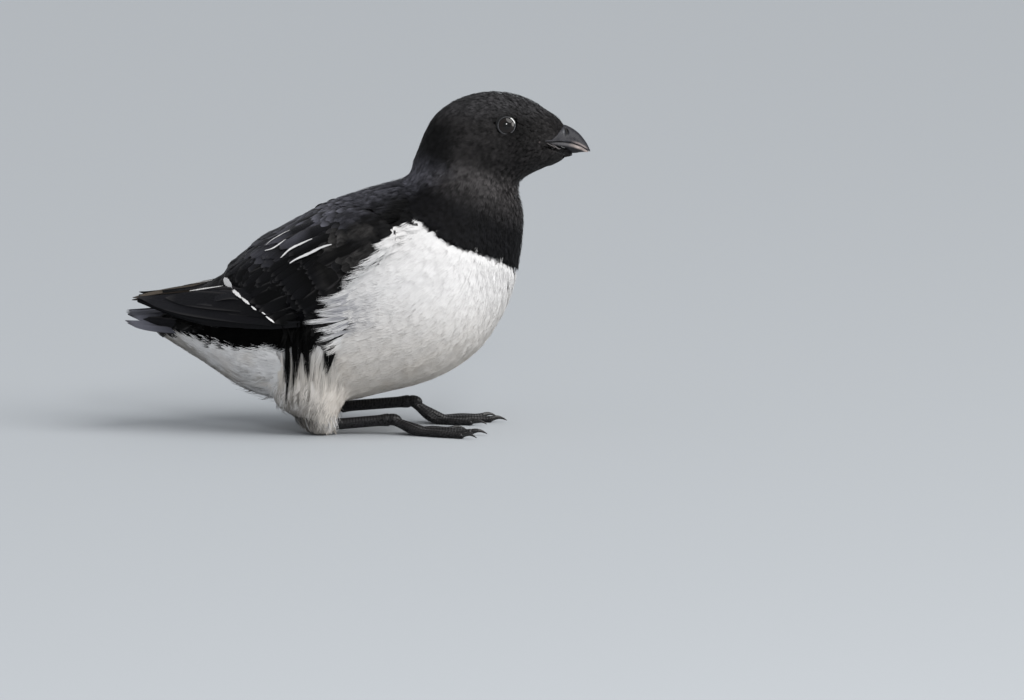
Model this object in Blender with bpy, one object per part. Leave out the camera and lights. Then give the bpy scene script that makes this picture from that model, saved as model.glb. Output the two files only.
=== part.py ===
"""A little auk at rest on its tarsi, life size, parted into the pieces a person would name.

The body is one loft from the tail root over rump, back, neck and head to the root of the bill.
Every section of it lies in a plane that holds a point of the back line, the point of the belly
line across from it, and the sideways direction. The loft is parted into trunk, neck and head
with thin cuts. Wings, tail, legs, bill and eyes are lofts and tubes of their own, fitted to the
body by cutting them with a slightly grown copy of it.

Lengths are in millimetres until a mesh is made. +X is forward, +Y the bird's left, +Z up, and
the floor is z = 0.
"""

import math

import bmesh
import bpy
import numpy as np
from mathutils import Vector

MM = 0.001
GAP = 0.3  # clearance between pieces that touch
BILL_GAP = 0.5  # and round the bill, whose facets are long
BODY_SIDES = 26  # corners of one section of the body

# The body's sections, tail to bill: back point (x, z), belly point (x, z), half width,
# egg (how much wider the upper half is than the lower one).
BODY = {
    "tail_root": ((-71.0, 44.0), (-73.0, 35.0), 6.0, 0.0),
    "vent": ((-59.4, 50.2), (-56.0, 24.4), 14.0, 0.0),
    "rump": ((-49.0, 56.0), (-41.4, 14.8), 21.0, -0.04),
    "loin": ((-36.2, 68.0), (-26.8, 10.2), 27.5, -0.06),
    "mid_back": ((-20.8, 78.0), (-9.0, 9.2), 32.5, -0.08),
    "shoulders": ((-3.0, 85.5), (9.0, 13.0), 35.0, -0.10),
    "keel": ((9.5, 89.4), (28.5, 18.4), 35.0, -0.12),
    "breast": ((16.5, 91.2), (44.5, 29.2), 32.0, -0.12),
    "crop": ((19.0, 92.8), (54.8, 46.0), 27.0, -0.08),
    "neck_base": ((19.0, 95.2), (58.7, 63.5), 21.8, -0.04),
    "neck": ((20.0, 99.5), (59.8, 77.5), 18.0, 0.0),
    "throat": ((22.9, 105.9), (57.9, 87.5), 16.2, 0.0),
    "hindhead": ((28.2, 114.2), (61.9, 91.8), 15.6, -0.06),
    "cheek": ((37.2, 120.0), (65.9, 93.8), 15.2, -0.12),
    "crown": ((49.0, 122.3), (69.0, 95.4), 14.0, -0.11),
    "forehead": ((60.4, 120.1), (71.5, 96.3), 10.7, -0.10),
    "lores": ((68.4, 115.0), (73.3, 97.0), 7.2, -0.08),
    "bill_root": ((73.6, 109.8), (74.7, 98.0), 4.4, 0.0),
}
STEPS = 3  # rings between two neighbouring sections
NECK_CUT = "neck_base"  # the trunk ends at this section
HEAD_CUT = "throat"  # the neck ends at this section

# Folded wing, shoulder to the tips of the secondaries: x, upper edge (y, z), lower edge (y, z),
# how far the outer face bulges from the line between the edges.
WING = [
    (15.0, (31.0, 76.5), (34.4, 70.5), 1.8),
    (9.0, (24.5, 81.0), (35.8, 65.5), 4.8),
    (0.0, (16.5, 82.6), (36.0, 59.0), 7.6),
    (-10.0, (12.0, 80.8), (35.0, 51.0), 9.6),
    (-20.0, (8.6, 76.6), (32.0, 43.0), 10.4),
    (-28.0, (7.0, 71.8), (28.2, 41.4), 9.8),
    (-35.0, (6.0, 67.0), (24.2, 44.4), 8.2),
    (-42.0, (5.6, 61.6), (19.0, 49.6), 6.0),
    (-48.0, (6.0, 57.0), (12.6, 53.0), 2.6),
]
# Primaries of the folded wing, from under the secondaries to their tip.
PRIMARIES = [
    (-20.0, (30.2, 45.0), (31.2, 40.6), 1.6),
    (-30.0, (24.8, 49.0), (28.0, 39.4), 3.2),
    (-40.0, (18.0, 53.4), (23.4, 38.8), 4.2),
    (-50.0, (10.4, 55.0), (18.2, 39.0), 4.0),
    (-60.0, (7.0, 52.4), (14.0, 40.4), 3.0),
    (-70.0, (5.6, 50.0), (10.2, 43.2), 1.9),
    (-79.0, (5.4, 48.2), (7.2, 46.6), 0.9),
]
# Tail fan: x, height of its middle, half width, half thickness.
TAIL = [
    (-62.0, 43.8, 9.0, 2.3),
    (-72.0, 42.3, 12.0, 1.8),
    (-78.0, 41.2, 13.0, 1.3),
    (-81.6, 40.5, 11.0, 0.9),
    (-83.4, 40.1, 6.0, 0.45),
]
TAIL_ARCH = 3.0  # how far the outer tail feathers droop, 12 mm out from the middle one
# Feathered thigh and the tuft over the heel, top down: z, x and y of the middle, half sizes.
THIGH = [
    (27.0, -14.0, 15.4, 16.0, 11.5),
    (19.0, -16.0, 15.6, 15.6, 10.6),
    (13.0, -17.2, 15.6, 13.6, 9.2),
    (7.5, -16.6, 15.4, 10.4, 7.4),
    (3.0, -14.8, 15.2, 7.8, 5.9),
    (0.0, -13.6, 15.0, 5.8, 4.6),
]
STANCE = 15.0  # each foot's distance from the middle plane
TARSUS_HIGH = 2.1  # half height of the tarsus
TARSUS_WIDE = 1.7  # its half width
# heel x, heel z, ankle x, ankle z of the two legs: the left one is set a little forward
LEGS = {"right": (-11.0, 3.4, 12.4, 5.4), "left": (-7.0, 6.2, 19.4, 8.2)}
TOE_OUT = 6.0  # degrees that each foot turns out
# toes: angle from the foot's line (outer side positive), length, half width at root and at tip
TOES = {
    "inner": (-21.0, 22.5, 1.7, 1.2),
    "middle": (0.0, 29.0, 1.9, 1.3),
    "outer": (20.0, 28.5, 1.8, 1.2),
}
WEB_REACH = 0.86  # the web's edge meets the toes at this share of their length
WEB_SAG = 0.70  # and between them it draws in to this share
WEB_THICK = 0.9
CLAW_LENGTH = 5.0

EYE_CENTRE = (53.4, 10.1, 111.2)
EYE_RADIUS = 4.9
# Bill halves: x, upper edge z, lower edge z, half width.
BILL_UPPER = [
    (65.8, 103.6, 103.0, 11.5),
    (68.5, 104.8, 103.05, 9.8),
    (71.0, 107.8, 103.1, 7.6),
    (73.5, 109.8, 103.15, 5.0),
    (76.5, 108.6, 103.1, 3.5),
    (79.5, 106.1, 102.6, 2.5),
    (81.9, 103.2, 101.2, 1.5),
    (83.4, 100.5, 99.9, 0.4),
]
BILL_LOWER = [
    (65.8, 102.7, 102.1, 11.4),
    (68.5, 102.75, 101.4, 9.7),
    (71.0, 102.75, 99.4, 7.5),
    (74.0, 102.7, 97.9, 4.5),
    (77.4, 102.4, 98.9, 2.7),
    (80.2, 101.8, 100.0, 1.5),
    (82.0, 100.6, 99.9, 0.5),
]

COLOURS = {
    "black_plumage": ((0.013, 0.013, 0.015, 1.0), 0.62),
    "hood_plumage": ((0.012, 0.011, 0.011, 1.0), 0.65),
    "white_plumage": ((0.72, 0.71, 0.68, 1.0), 0.80),
    "bill": ((0.016, 0.015, 0.015, 1.0), 0.38),
    "eye": ((0.004, 0.003, 0.003, 1.0), 0.06),
    "leg": ((0.030, 0.029, 0.030, 1.0), 0.52),
    "claw": ((0.010, 0.009, 0.009, 1.0), 0.35),
}


# ---------------------------------------------------------------- meshes and lofts


def clear_scene():
    for thing in list(bpy.data.objects):
        bpy.data.objects.remove(thing, do_unlink=True)


def new_collection(name):
    made = bpy.data.collections.new(name)
    bpy.context.scene.collection.children.link(made)
    return made


def plain_material(name, key):
    colour, roughness = COLOURS[key]
    made = bpy.data.materials.new(name)
    made.use_nodes = True
    shader = made.node_tree.nodes["Principled BSDF"]
    shader.inputs["Base Color"].default_value = colour
    shader.inputs["Roughness"].default_value = roughness
    shader.inputs["Metallic"].default_value = 0.0
    return made


def mesh_object(name, mesh, collection):
    made = bpy.data.objects.new(name, mesh)
    collection.objects.link(made)
    return made


def loft_mesh(name, rings):
    """Closed mesh through rings with the same number of corners, both ends capped."""
    body = bmesh.new()
    rows = [[body.verts.new(Vector(point) * MM) for point in ring] for ring in rings]
    for near, far in zip(rows, rows[1:]):
        for k in range(len(near)):
            after = (k + 1) % len(near)
            body.faces.new((near[k], near[after], far[after], far[k]))
    body.faces.new(rows[0])
    body.faces.new(rows[-1])
    bmesh.ops.recalc_face_normals(body, faces=body.faces)
    bmesh.ops.triangulate(body, faces=body.faces)
    mesh = bpy.data.meshes.new(name)
    body.to_mesh(mesh)
    body.free()
    return mesh


def smooth_rows(rows, steps):
    """Rows of numbers, one per section, filled in with a Catmull-Rom curve."""
    known = np.array(rows, dtype=float)
    padded = np.vstack([2 * known[0] - known[1], known, 2 * known[-1] - known[-2]])
    filled = []
    for i in range(1, len(padded) - 2):
        p0, p1, p2, p3 = padded[i - 1 : i + 3]
        for step in range(steps):
            t = step / steps
            bend = 2 * p0 - 5 * p1 + 4 * p2 - p3
            twist = -p0 + 3 * p1 - 3 * p2 + p3
            filled.append(0.5 * (2 * p1 + (p2 - p0) * t + bend * t**2 + twist * t**3))
    filled.append(known[-1])
    return np.array(filled)


# ---------------------------------------------------------------- the body


def body_rows():
    """Back x, back z, belly x, belly z, half width and egg of every ring, tail to bill."""
    rows = [(*back, *belly, width, egg) for back, belly, width, egg in BODY.values()]
    return smooth_rows(rows, STEPS)


def body_ring(row, grow=0.0, shift=0.0):
    """One closed section; grow swells it and shift moves it forward along the body."""
    back = np.array((row[0], 0.0, row[1]))
    belly = np.array((row[2], 0.0, row[3]))
    half = (back - belly) / 2
    reach = np.linalg.norm(half)
    half *= (reach + grow) / reach
    ahead = np.array((half[2], 0.0, -half[0])) / np.linalg.norm(half)
    middle = (back + belly) / 2 + ahead * shift
    width = row[4] + grow
    points = []
    for k in range(BODY_SIDES):
        turn = 2 * math.pi * k / BODY_SIDES
        rise = math.cos(turn)
        side = width * math.sin(turn) * (1 + row[5] * rise)
        points.append(middle + half * rise + np.array((0.0, side, 0.0)))
    return points


def body_part(name, first, last, grow=0.0):
    """The body's loft between two of its named sections."""
    names = list(BODY)
    start = names.index(first) * STEPS
    stop = names.index(last) * STEPS
    rows = body_rows()[start : stop + 1]
    rings = [body_ring(row, grow) for row in rows]
    if first != names[0]:
        rings[0] = body_ring(rows[0], grow, shift=GAP)
    if grow:
        rings[0] = body_ring(rows[0], grow, shift=-grow)
        rings[-1] = body_ring(rows[-1], grow, shift=grow)
    return loft_mesh(name, rings)


# ---------------------------------------------------------------- the other shapes


def leaf_mesh(name, stations, side, grow=0.0):
    """A long flat leaf: sections across X, each a lens between an upper and a lower edge."""
    rows = smooth_rows([(x, *top, *low, bulge) for x, top, low, bulge in stations], 2)
    rings = []
    for x, top_y, top_z, low_y, low_z, bulge in rows:
        top = np.array((top_y, top_z))
        low = np.array((low_y, low_z))
        half = (top - low) / 2
        reach = np.linalg.norm(half)
        outward = np.array((half[1], -half[0])) / reach
        half *= (reach + grow) / reach
        ring = []
        for k in range(12):
            turn = 2 * math.pi * k / 12
            flat = (top + low) / 2 + half * math.cos(turn)
            flat = flat + outward * (bulge + grow) * math.sin(turn)
            ring.append((x, side * flat[0], flat[1]))
        rings.append(ring)
    return loft_mesh(name, rings)


def tail_mesh(name):
    rings = []
    for x, height, wide, thick in smooth_rows(TAIL, 2):
        ring = []
        for k in range(16):
            turn = 2 * math.pi * k / 16
            side = wide * math.cos(turn)
            arch = -TAIL_ARCH * (side / 12.0) ** 2
            ring.append((x, side, height + arch + thick * math.sin(turn)))
        rings.append(ring)
    return loft_mesh(name, rings)


def thigh_mesh(name, side):
    rings = []
    for z, x, y, long, wide in THIGH:
        ring = []
        for k in range(16):
            turn = 2 * math.pi * k / 16
            ring.append((x + long * math.cos(turn), side * y + wide * math.sin(turn), z))
        rings.append(ring)
    return loft_mesh(name, rings)


def tube_mesh(name, path, sizes, corners=10):
    """A tube along a path, given the half width across and the half height of each ring."""
    path = [np.array(point, dtype=float) for point in path]
    rings = []
    for i, centre in enumerate(path):
        before = path[max(i - 1, 0)]
        after = path[min(i + 1, len(path) - 1)]
        along = (after - before) / np.linalg.norm(after - before)
        across = np.cross((0.0, 0.0, 1.0), along)
        across /= np.linalg.norm(across)
        up = np.cross(along, across)
        wide, high = sizes[i]
        ring = []
        for k in range(corners):
            turn = 2 * math.pi * k / corners
            ring.append(centre + across * wide * math.cos(turn) + up * high * math.sin(turn))
        rings.append(ring)
    return loft_mesh(name, rings)


def tarsus_mesh(name, leg, side, grow=0.0):
    heel_x, heel_z, ankle_x, ankle_z = LEGS[leg]
    shares = (0.0, 0.04, 0.5, 0.9, 1.0)
    fat = (0.55, 1.0, 0.88, 1.05, 0.7)
    path = []
    for share in shares:
        x = heel_x + (ankle_x - heel_x) * share
        z = heel_z + (ankle_z - heel_z) * share
        path.append((x, side * STANCE, z))
    path[0] = (path[0][0] - grow, path[0][1], path[0][2])
    path[-1] = (path[-1][0] + grow, path[-1][1], path[-1][2])
    sizes = [(TARSUS_WIDE * f + grow, TARSUS_HIGH * f + grow) for f in fat]
    return tube_mesh(name, path, sizes)


def toe_direction(side, angle):
    turn = math.radians(TOE_OUT + angle)
    return np.array((math.cos(turn), side * math.sin(turn), 0.0))


def foot_root(leg, side):
    return np.array((LEGS[leg][2], side * STANCE, 0.0))


def toe_path(leg, side, toe):
    """From the ankle down onto the floor and out to the toe's end."""
    angle, length, root_size, tip_size = TOES[toe]
    ankle_z = LEGS[leg][3]
    ahead = toe_direction(side, angle)
    shares = (0.0, 0.12, 0.30, 0.52, 0.76, 0.96, 1.0)
    path = []
    sizes = []
    for share in shares:
        half = root_size + (tip_size - root_size) * share
        knuckle = 1.0 + 0.10 * math.cos(share * 3 * 2 * math.pi)
        drop = max(0.0, 1.0 - share / 0.30) ** 1.3
        height = half * 0.86 + (ankle_z - half * 0.86) * drop
        point = foot_root(leg, side) + ahead * length * share
        path.append((point[0], point[1], height))
        sizes.append((half * knuckle, half * knuckle))
    sizes[-1] = (tip_size * 0.55, tip_size * 0.55)
    return path, sizes


def web_mesh(name, leg, side):
    """The web between the three toes: a thin plate with a scalloped front edge."""
    spread = [(TOES[toe][0], TOES[toe][1] * WEB_REACH) for toe in ("inner", "middle", "outer")]
    edge = []
    for (from_angle, from_reach), (to_angle, to_reach) in zip(spread, spread[1:]):
        for step in range(5):
            share = step / 5
            sag = 1 - (1 - WEB_SAG) * math.sin(math.pi * share) * 0.8
            reach = (from_reach + (to_reach - from_reach) * share) * sag
            edge.append((from_angle + (to_angle - from_angle) * share, reach))
    edge.append(spread[-1])
    ankle_z = LEGS[leg][3]
    rings = []
    for share in (0.10, 0.32, 0.6, 1.0):
        upper = []
        lower = []
        drop = max(0.0, 1.0 - share / 0.42) ** 1.3
        low = 0.25 + (ankle_z - 1.0) * drop
        for angle, reach in edge:
            point = foot_root(leg, side) + toe_direction(side, angle) * reach * share
            upper.append((point[0], point[1], low + WEB_THICK))
            lower.append((point[0], point[1], low))
        rings.append(upper + lower[::-1])
    return loft_mesh(name, rings)


def claw_mesh(name, leg, side, toe):
    """A short hooked cone on the end of a toe, its point just over the floor."""
    angle, length, root_size, tip_size = TOES[toe]
    ahead = toe_direction(side, angle)
    start = foot_root(leg, side) + ahead * (length + GAP)
    path = []
    sizes = []
    for share in (0.0, 0.3, 0.6, 0.85, 1.0):
        along = start + ahead * CLAW_LENGTH * share
        high = 1.25 + 0.75 * math.sin(math.pi * share * 0.9) - 0.8 * share**2
        size = tip_size * (0.72 - 0.60 * share)
        path.append((along[0], along[1], high))
        sizes.append((size * 0.8, size))
    return tube_mesh(name, path, sizes, corners=8)


def bill_mesh(name, stations, roof, grow=0.0):
    """Half a bill: sections across X, arched on the outside and flat where the halves meet."""
    rings = []
    last = len(stations) - 1
    for i, (x, top, low, wide) in enumerate(stations):
        x += grow * ((i == last) - (i == 0))
        seam, crest = (low - grow, top + grow) if roof else (top + grow, low - grow)
        ring = []
        for k in range(9):
            turn = math.pi * k / 8
            side = (wide + grow) * math.cos(turn)
            ring.append((x, side, seam + (crest - seam) * math.sin(turn) ** 0.9))
        for share in (-0.5, 0.0, 0.5):
            ring.append((x, (wide + grow) * share, seam))
        rings.append(ring)
    return loft_mesh(name, rings)


def ball_mesh(name, centre, radius):
    ball = bmesh.new()
    bmesh.ops.create_uvsphere(ball, u_segments=14, v_segments=8, radius=radius * MM)
    bmesh.ops.translate(ball, verts=ball.verts, vec=Vector(centre) * MM)
    bmesh.ops.triangulate(ball, faces=ball.faces)
    mesh = bpy.data.meshes.new(name)
    ball.to_mesh(mesh)
    ball.free()
    return mesh


# ---------------------------------------------------------------- putting it together


def add_node(name, mesh, colour):
    made = mesh_object(name, mesh, PARTS)
    made.data.materials.append(plain_material(name, colour))
    made.parent = ROOT
    made.data.shade_smooth()
    return made


def add_cutter(name, mesh):
    made = mesh_object(name, mesh, CUTTERS)
    made.hide_render = True
    made.display_type = "WIRE"
    made.parent = ROOT
    return made


def cut(piece, tool, operation="DIFFERENCE"):
    step = piece.modifiers.new(f"{operation.lower()} {tool.name}", "BOOLEAN")
    step.operation = operation
    step.solver = "EXACT"
    step.object = tool


def add_foot(leg, side):
    path, sizes = toe_path(leg, side, "middle")
    foot = add_node(f"foot_{leg}", tube_mesh(f"foot_{leg}", path, sizes, 8), "leg")
    for toe in ("inner", "outer"):
        path, sizes = toe_path(leg, side, toe)
        cut(foot, add_cutter(f"toe {toe} {leg}", tube_mesh("toe", path, sizes, 8)), "UNION")
    cut(foot, add_cutter(f"web {leg}", web_mesh("web", leg, side)), "UNION")
    cut(foot, add_cutter(f"tarsus room {leg}", tarsus_mesh("room", leg, side, GAP)))
    cut(foot, FLOOR)
    for toe in TOES:
        add_node(f"claw_{toe}_{leg}", claw_mesh("claw", leg, side, toe), "claw")


def floor_block():
    """A wide block just under the floor: it trims the soles to flats at one level."""
    block = bmesh.new()
    bmesh.ops.create_cube(block, size=1.0)
    bmesh.ops.scale(block, verts=block.verts, vec=(0.3, 0.2, 0.02))
    bmesh.ops.translate(block, verts=block.verts, vec=(0.0, 0.0, -0.01))
    mesh = bpy.data.meshes.new("floor trim")
    block.to_mesh(mesh)
    block.free()
    return mesh


clear_scene()
PARTS = new_collection("little auk")
CUTTERS = new_collection("cutters")
ROOT = bpy.data.objects.new("root_point", None)
PARTS.objects.link(ROOT)
FLOOR = add_cutter("floor trim", floor_block())

first_section, *_, last_section = BODY
trunk = add_node("trunk", body_part("trunk", first_section, NECK_CUT), "white_plumage")
neck = add_node("neck", body_part("neck", NECK_CUT, HEAD_CUT), "hood_plumage")
head = add_node("head", body_part("head", HEAD_CUT, last_section), "hood_plumage")
trunk_room = add_cutter("trunk room", body_part("room", first_section, NECK_CUT, GAP))

upper = add_node("bill_upper", bill_mesh("bill_upper", BILL_UPPER, True), "bill")
lower = add_node("bill_lower", bill_mesh("bill_lower", BILL_LOWER, False), "bill")
cut(head, add_cutter("upper bill room", bill_mesh("room", BILL_UPPER, True, BILL_GAP)))
cut(head, add_cutter("lower bill room", bill_mesh("room", BILL_LOWER, False, BILL_GAP)))

tail = add_node("tail", tail_mesh("tail"), "black_plumage")
cut(tail, trunk_room)

for leg, side in (("left", 1), ("right", -1)):
    x, y, z = EYE_CENTRE
    add_node(f"eye_{leg}", ball_mesh("eye", (x, side * y, z), EYE_RADIUS), "eye")
    cut(head, add_cutter(f"socket {leg}", ball_mesh("room", (x, side * y, z), EYE_RADIUS + GAP)))

    wing = add_node(f"wing_{leg}", leaf_mesh("wing", WING, side), "black_plumage")
    cut(wing, trunk_room)
    blade = add_node(f"primaries_{leg}", leaf_mesh("blade", PRIMARIES, side), "black_plumage")
    cut(blade, trunk_room)
    cut(blade, add_cutter(f"wing room {leg}", leaf_mesh("room", WING, side, GAP)))
    cut(tail, add_cutter(f"blade room {leg}", leaf_mesh("room", PRIMARIES, side, GAP)))

    thigh = add_node(f"thigh_{leg}", thigh_mesh("thigh", side), "white_plumage")
    cut(thigh, trunk_room)
    add_node(f"tarsus_{leg}", tarsus_mesh("tarsus", leg, side), "leg")
    cut(thigh, add_cutter(f"heel room {leg}", tarsus_mesh("room", leg, side, GAP)))
    add_foot(leg, side)
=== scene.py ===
# %% [markdown]
# # A little auk in breeding plumage, life size
# The bird rests on its tarsi with folded wings and raised head. Its measured solids come from the
# frame. This lesson grows a skin inside them and lays the plumage over that skin, feather group by
# feather group, from small velvety tufts on the face to the long stiff quills of the wing.

# %% Load the measured frame
import math

import bmesh
import bpy
import numpy as np
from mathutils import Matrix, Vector
from mathutils.bvhtree import BVHTree


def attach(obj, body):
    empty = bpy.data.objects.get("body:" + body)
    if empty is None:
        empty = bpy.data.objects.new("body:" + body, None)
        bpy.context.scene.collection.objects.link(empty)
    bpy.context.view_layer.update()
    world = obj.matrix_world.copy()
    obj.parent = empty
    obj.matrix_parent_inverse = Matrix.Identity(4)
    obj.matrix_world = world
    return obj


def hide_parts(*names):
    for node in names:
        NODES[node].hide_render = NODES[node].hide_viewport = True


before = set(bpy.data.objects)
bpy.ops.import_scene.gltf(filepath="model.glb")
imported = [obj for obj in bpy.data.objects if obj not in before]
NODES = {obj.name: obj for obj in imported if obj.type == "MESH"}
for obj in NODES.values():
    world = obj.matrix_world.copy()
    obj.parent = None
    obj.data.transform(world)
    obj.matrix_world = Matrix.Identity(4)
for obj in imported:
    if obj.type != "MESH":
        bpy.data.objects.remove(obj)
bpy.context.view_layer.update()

MM = 0.001
SIDES = {"left": 1, "right": -1}

# %% [markdown]
# ## Camera, floor and light
# A long lens a few metres away keeps the proportions true, as a watcher with a telescope sees the
# bird. The light is a wide soft sky from above the bird's right shoulder, with a paler floor that
# sends some of it back up under the belly.

# %% Camera
ELEVATION = math.radians(7)
FRAME_WIDTH = 1024 * 0.36  # millimetres that the frame spans at the bird
AIM = (55.4, 28.4)  # where the frame's middle looks: along X, and up in the camera's own plane
DISTANCE = 3000
UP = np.array((0, math.sin(ELEVATION), math.cos(ELEVATION)))
AHEAD = np.array((0, math.cos(ELEVATION), -math.sin(ELEVATION)))


def add_object(name, data):
    """A new object in the scene."""
    made = bpy.data.objects.new(name, data)
    bpy.context.scene.collection.objects.link(made)
    return made


lens = bpy.data.cameras.new("long lens")
lens.sensor_width = 36
lens.lens = 36 * DISTANCE / FRAME_WIDTH
camera = add_object("camera", lens)
camera.location = Vector((np.array((AIM[0], 0, 0)) + UP * AIM[1] - AHEAD * DISTANCE) * MM)
camera.rotation_euler = (math.pi / 2 - ELEVATION, 0, 0)
bpy.context.scene.camera = camera
print("lens:", round(lens.lens), "mm")

# %% Lights and floor


def add_softbox(name, place, aim, size, power, colour):
    """A round soft lamp that faces a spot."""
    lamp = bpy.data.lights.new(name, "AREA")
    lamp.shape = "DISK"
    lamp.size = size
    lamp.energy = power
    lamp.color = colour
    made = add_object(name, lamp)
    made.location = place
    made.rotation_euler = (Vector(aim) - Vector(place)).to_track_quat("-Z", "Y").to_euler()
    return made


BIRD_MIDDLE = (0.0, 0.0, 0.06)
add_softbox("catchlight", (0.28, -1.38, 0.68), BIRD_MIDDLE, 0.25, 4.4, (1.0, 1.0, 1.0))
add_softbox("front fill", (1.7, -0.6, 0.5), BIRD_MIDDLE, 0.9, 11.4, (1.0, 0.985, 0.96))

overcast = bpy.data.lights.new("overcast", "SUN")
overcast.energy = 2.0
overcast.angle = math.radians(50)
overcast.color = (1.0, 0.995, 0.985)
overcast_sky = add_object("overcast", overcast)
overcast_sky.rotation_euler = Vector((0.50, -0.35, 0.79)).to_track_quat("Z", "Y").to_euler()

world = bpy.data.worlds.new("studio air")
bpy.context.scene.world = world
world.use_nodes = True
world.node_tree.nodes["Background"].inputs["Color"].default_value = (0.86, 0.88, 0.91, 1)
world.node_tree.nodes["Background"].inputs["Strength"].default_value = 0.53
bpy.context.scene.view_settings.view_transform = "Standard"

floor_mesh = bpy.data.meshes.new("floor")
floor_form = bmesh.new()
bmesh.ops.create_circle(floor_form, cap_ends=True, segments=96, radius=60.0)
floor_form.to_mesh(floor_mesh)
floor_form.free()
floor = add_object("floor", floor_mesh)
floor_paint = bpy.data.materials.new("floor paint")
floor_paint.use_nodes = True
floor_shader = floor_paint.node_tree.nodes["Principled BSDF"]
floor_shader.inputs["Base Color"].default_value = (0.445, 0.470, 0.495, 1)
floor_shader.inputs["Roughness"].default_value = 0.9
floor_mesh.materials.append(floor_paint)
print("lights:", len(bpy.data.lights))

# %% [markdown]
# ## Small helpers
# Everything below works on whole arrays of points in millimetres, and a mesh is made in metres only
# at the end. `ease` fades one thing into another, and `ripple` is a soft, seeded unevenness.

# %% Helpers on arrays
FLOOR_GAP = 0.05  # millimetres that feathers stay above the floor


def unit(vectors):
    """Vectors made one long."""
    return vectors / np.maximum(np.linalg.norm(vectors, axis=-1, keepdims=True), 1e-9)


def ease(value, low, high):
    """0 up to low, 1 from high on, smooth between."""
    share = np.clip((value - low) / (high - low), 0, 1)
    return share * share * (3 - 2 * share)


def ripple(points, size, seed):
    """Soft noise, roughly -1 to 1, whose bumps are about size millimetres wide."""
    draw = np.random.default_rng(seed)
    waves = draw.normal(size=(9, 3)) * 3.0 / size
    phases = draw.uniform(0, 2 * math.pi, 9)
    return np.sin(points @ waves.T + phases).sum(1) / 3.5


def mixed(low, high, share):
    """Between two colours or rows of colours, share by share."""
    share = np.asarray(share, float)[..., None]
    return np.asarray(low) * (1 - share) + np.asarray(high) * share


def seen_height(points):
    """Height as it looks from a little above the bird's own side: both sides are drawn alike."""
    return points[:, 2] * math.cos(ELEVATION) - np.abs(points[:, 1]) * math.sin(ELEVATION)


def side_view(points):
    """Spots (x, height) where the points show on the side view."""
    return np.column_stack((points[:, 0], seen_height(points)))


def mound(x, z, middle, size):
    """1 at one spot of the side view, falling off smoothly round it."""
    return np.exp(-((x - middle[0]) ** 2 + (z - middle[1]) ** 2) / size)


def fan_triangles(faces):
    """Every face cut into triangles from its first corner."""
    return np.array([(face[0], face[k], face[k + 1]) for face in faces for k in range(1, len(face) - 1)])


def sheet(grid):
    """Two triangles for every cell of a grid of point numbers."""
    a, b, c, d = (part.ravel() for part in (grid[:-1, :-1], grid[:-1, 1:], grid[1:, 1:], grid[1:, :-1]))
    return np.vstack((np.column_stack((a, b, c)), np.column_stack((a, c, d))))

# %% [markdown]
# ## The skin
# A bird's skin is one sleeve from bill to toes. The parted solids are melted into one lump with a
# voxel remesh, which closes the thin cuts between them, then smoothed and drawn in by the depth of
# the plumage: under a millimetre on the face and about two on the breast.

# %% Melt the flesh into one lump
FLESH = ["trunk", "neck", "head", "thigh_left", "thigh_right", "wing_left", "wing_right"]
# Planes where feathering gives way to horn, each as a point (x, z) and the side (x, z) that is horn.
FEATHER_EDGE = {
    "bill_upper": [((74.9, 109.2), (0.62, -0.78))],
    "bill_lower": [((78.0, 100), (1, 0)), ((72, 101.6), (-0.10, 1))],
}


def mesh_arrays(mesh):
    """Corner points in millimetres, vertex normals and quads or triangles of a mesh."""
    count = len(mesh.vertices)
    points = np.empty(count * 3)
    mesh.vertices.foreach_get("co", points)
    normals = np.empty(count * 3)
    mesh.vertices.foreach_get("normal", normals)
    faces = [tuple(face.vertices) for face in mesh.polygons]
    return points.reshape(-1, 3) / MM, normals.reshape(-1, 3), faces


def melt(names, voxel, rounds):
    """One smooth closed mesh round all of the named solids."""
    lump = bmesh.new()
    for name in names:
        lump.from_mesh(NODES[name].data)
    for name, planes in FEATHER_EDGE.items():
        stub = bmesh.new()
        stub.from_mesh(NODES[name].data)
        for (x, z), (ahead, up) in planes:
            bmesh.ops.bisect_plane(
                stub,
                geom=stub.verts[:] + stub.edges[:] + stub.faces[:],
                plane_co=(x * MM, 0, z * MM),
                plane_no=(ahead, 0, up),
                clear_outer=True,
            )
            bmesh.ops.holes_fill(stub, edges=stub.edges)
        spare = bpy.data.meshes.new("stub")
        stub.to_mesh(spare)
        stub.free()
        lump.from_mesh(spare)
    mesh = bpy.data.meshes.new("lump")
    lump.to_mesh(mesh)
    lump.free()
    body = add_object("lump", mesh)
    remesh = body.modifiers.new("melt", "REMESH")
    remesh.mode = "VOXEL"
    remesh.voxel_size = voxel * MM
    soften = body.modifiers.new("soften", "SMOOTH")
    soften.factor = 0.5
    soften.iterations = rounds
    graph = bpy.context.evaluated_depsgraph_get()
    result = bpy.data.meshes.new_from_object(body.evaluated_get(graph))
    bpy.data.objects.remove(body)
    return result


skin_mesh = melt(FLESH + ["eye_left", "eye_right"], voxel=0.85, rounds=14)
skin_points, skin_normals, skin_faces = mesh_arrays(skin_mesh)
print("skin:", len(skin_points), "points")

# %% Draw the skin in by the depth of the coat


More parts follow.
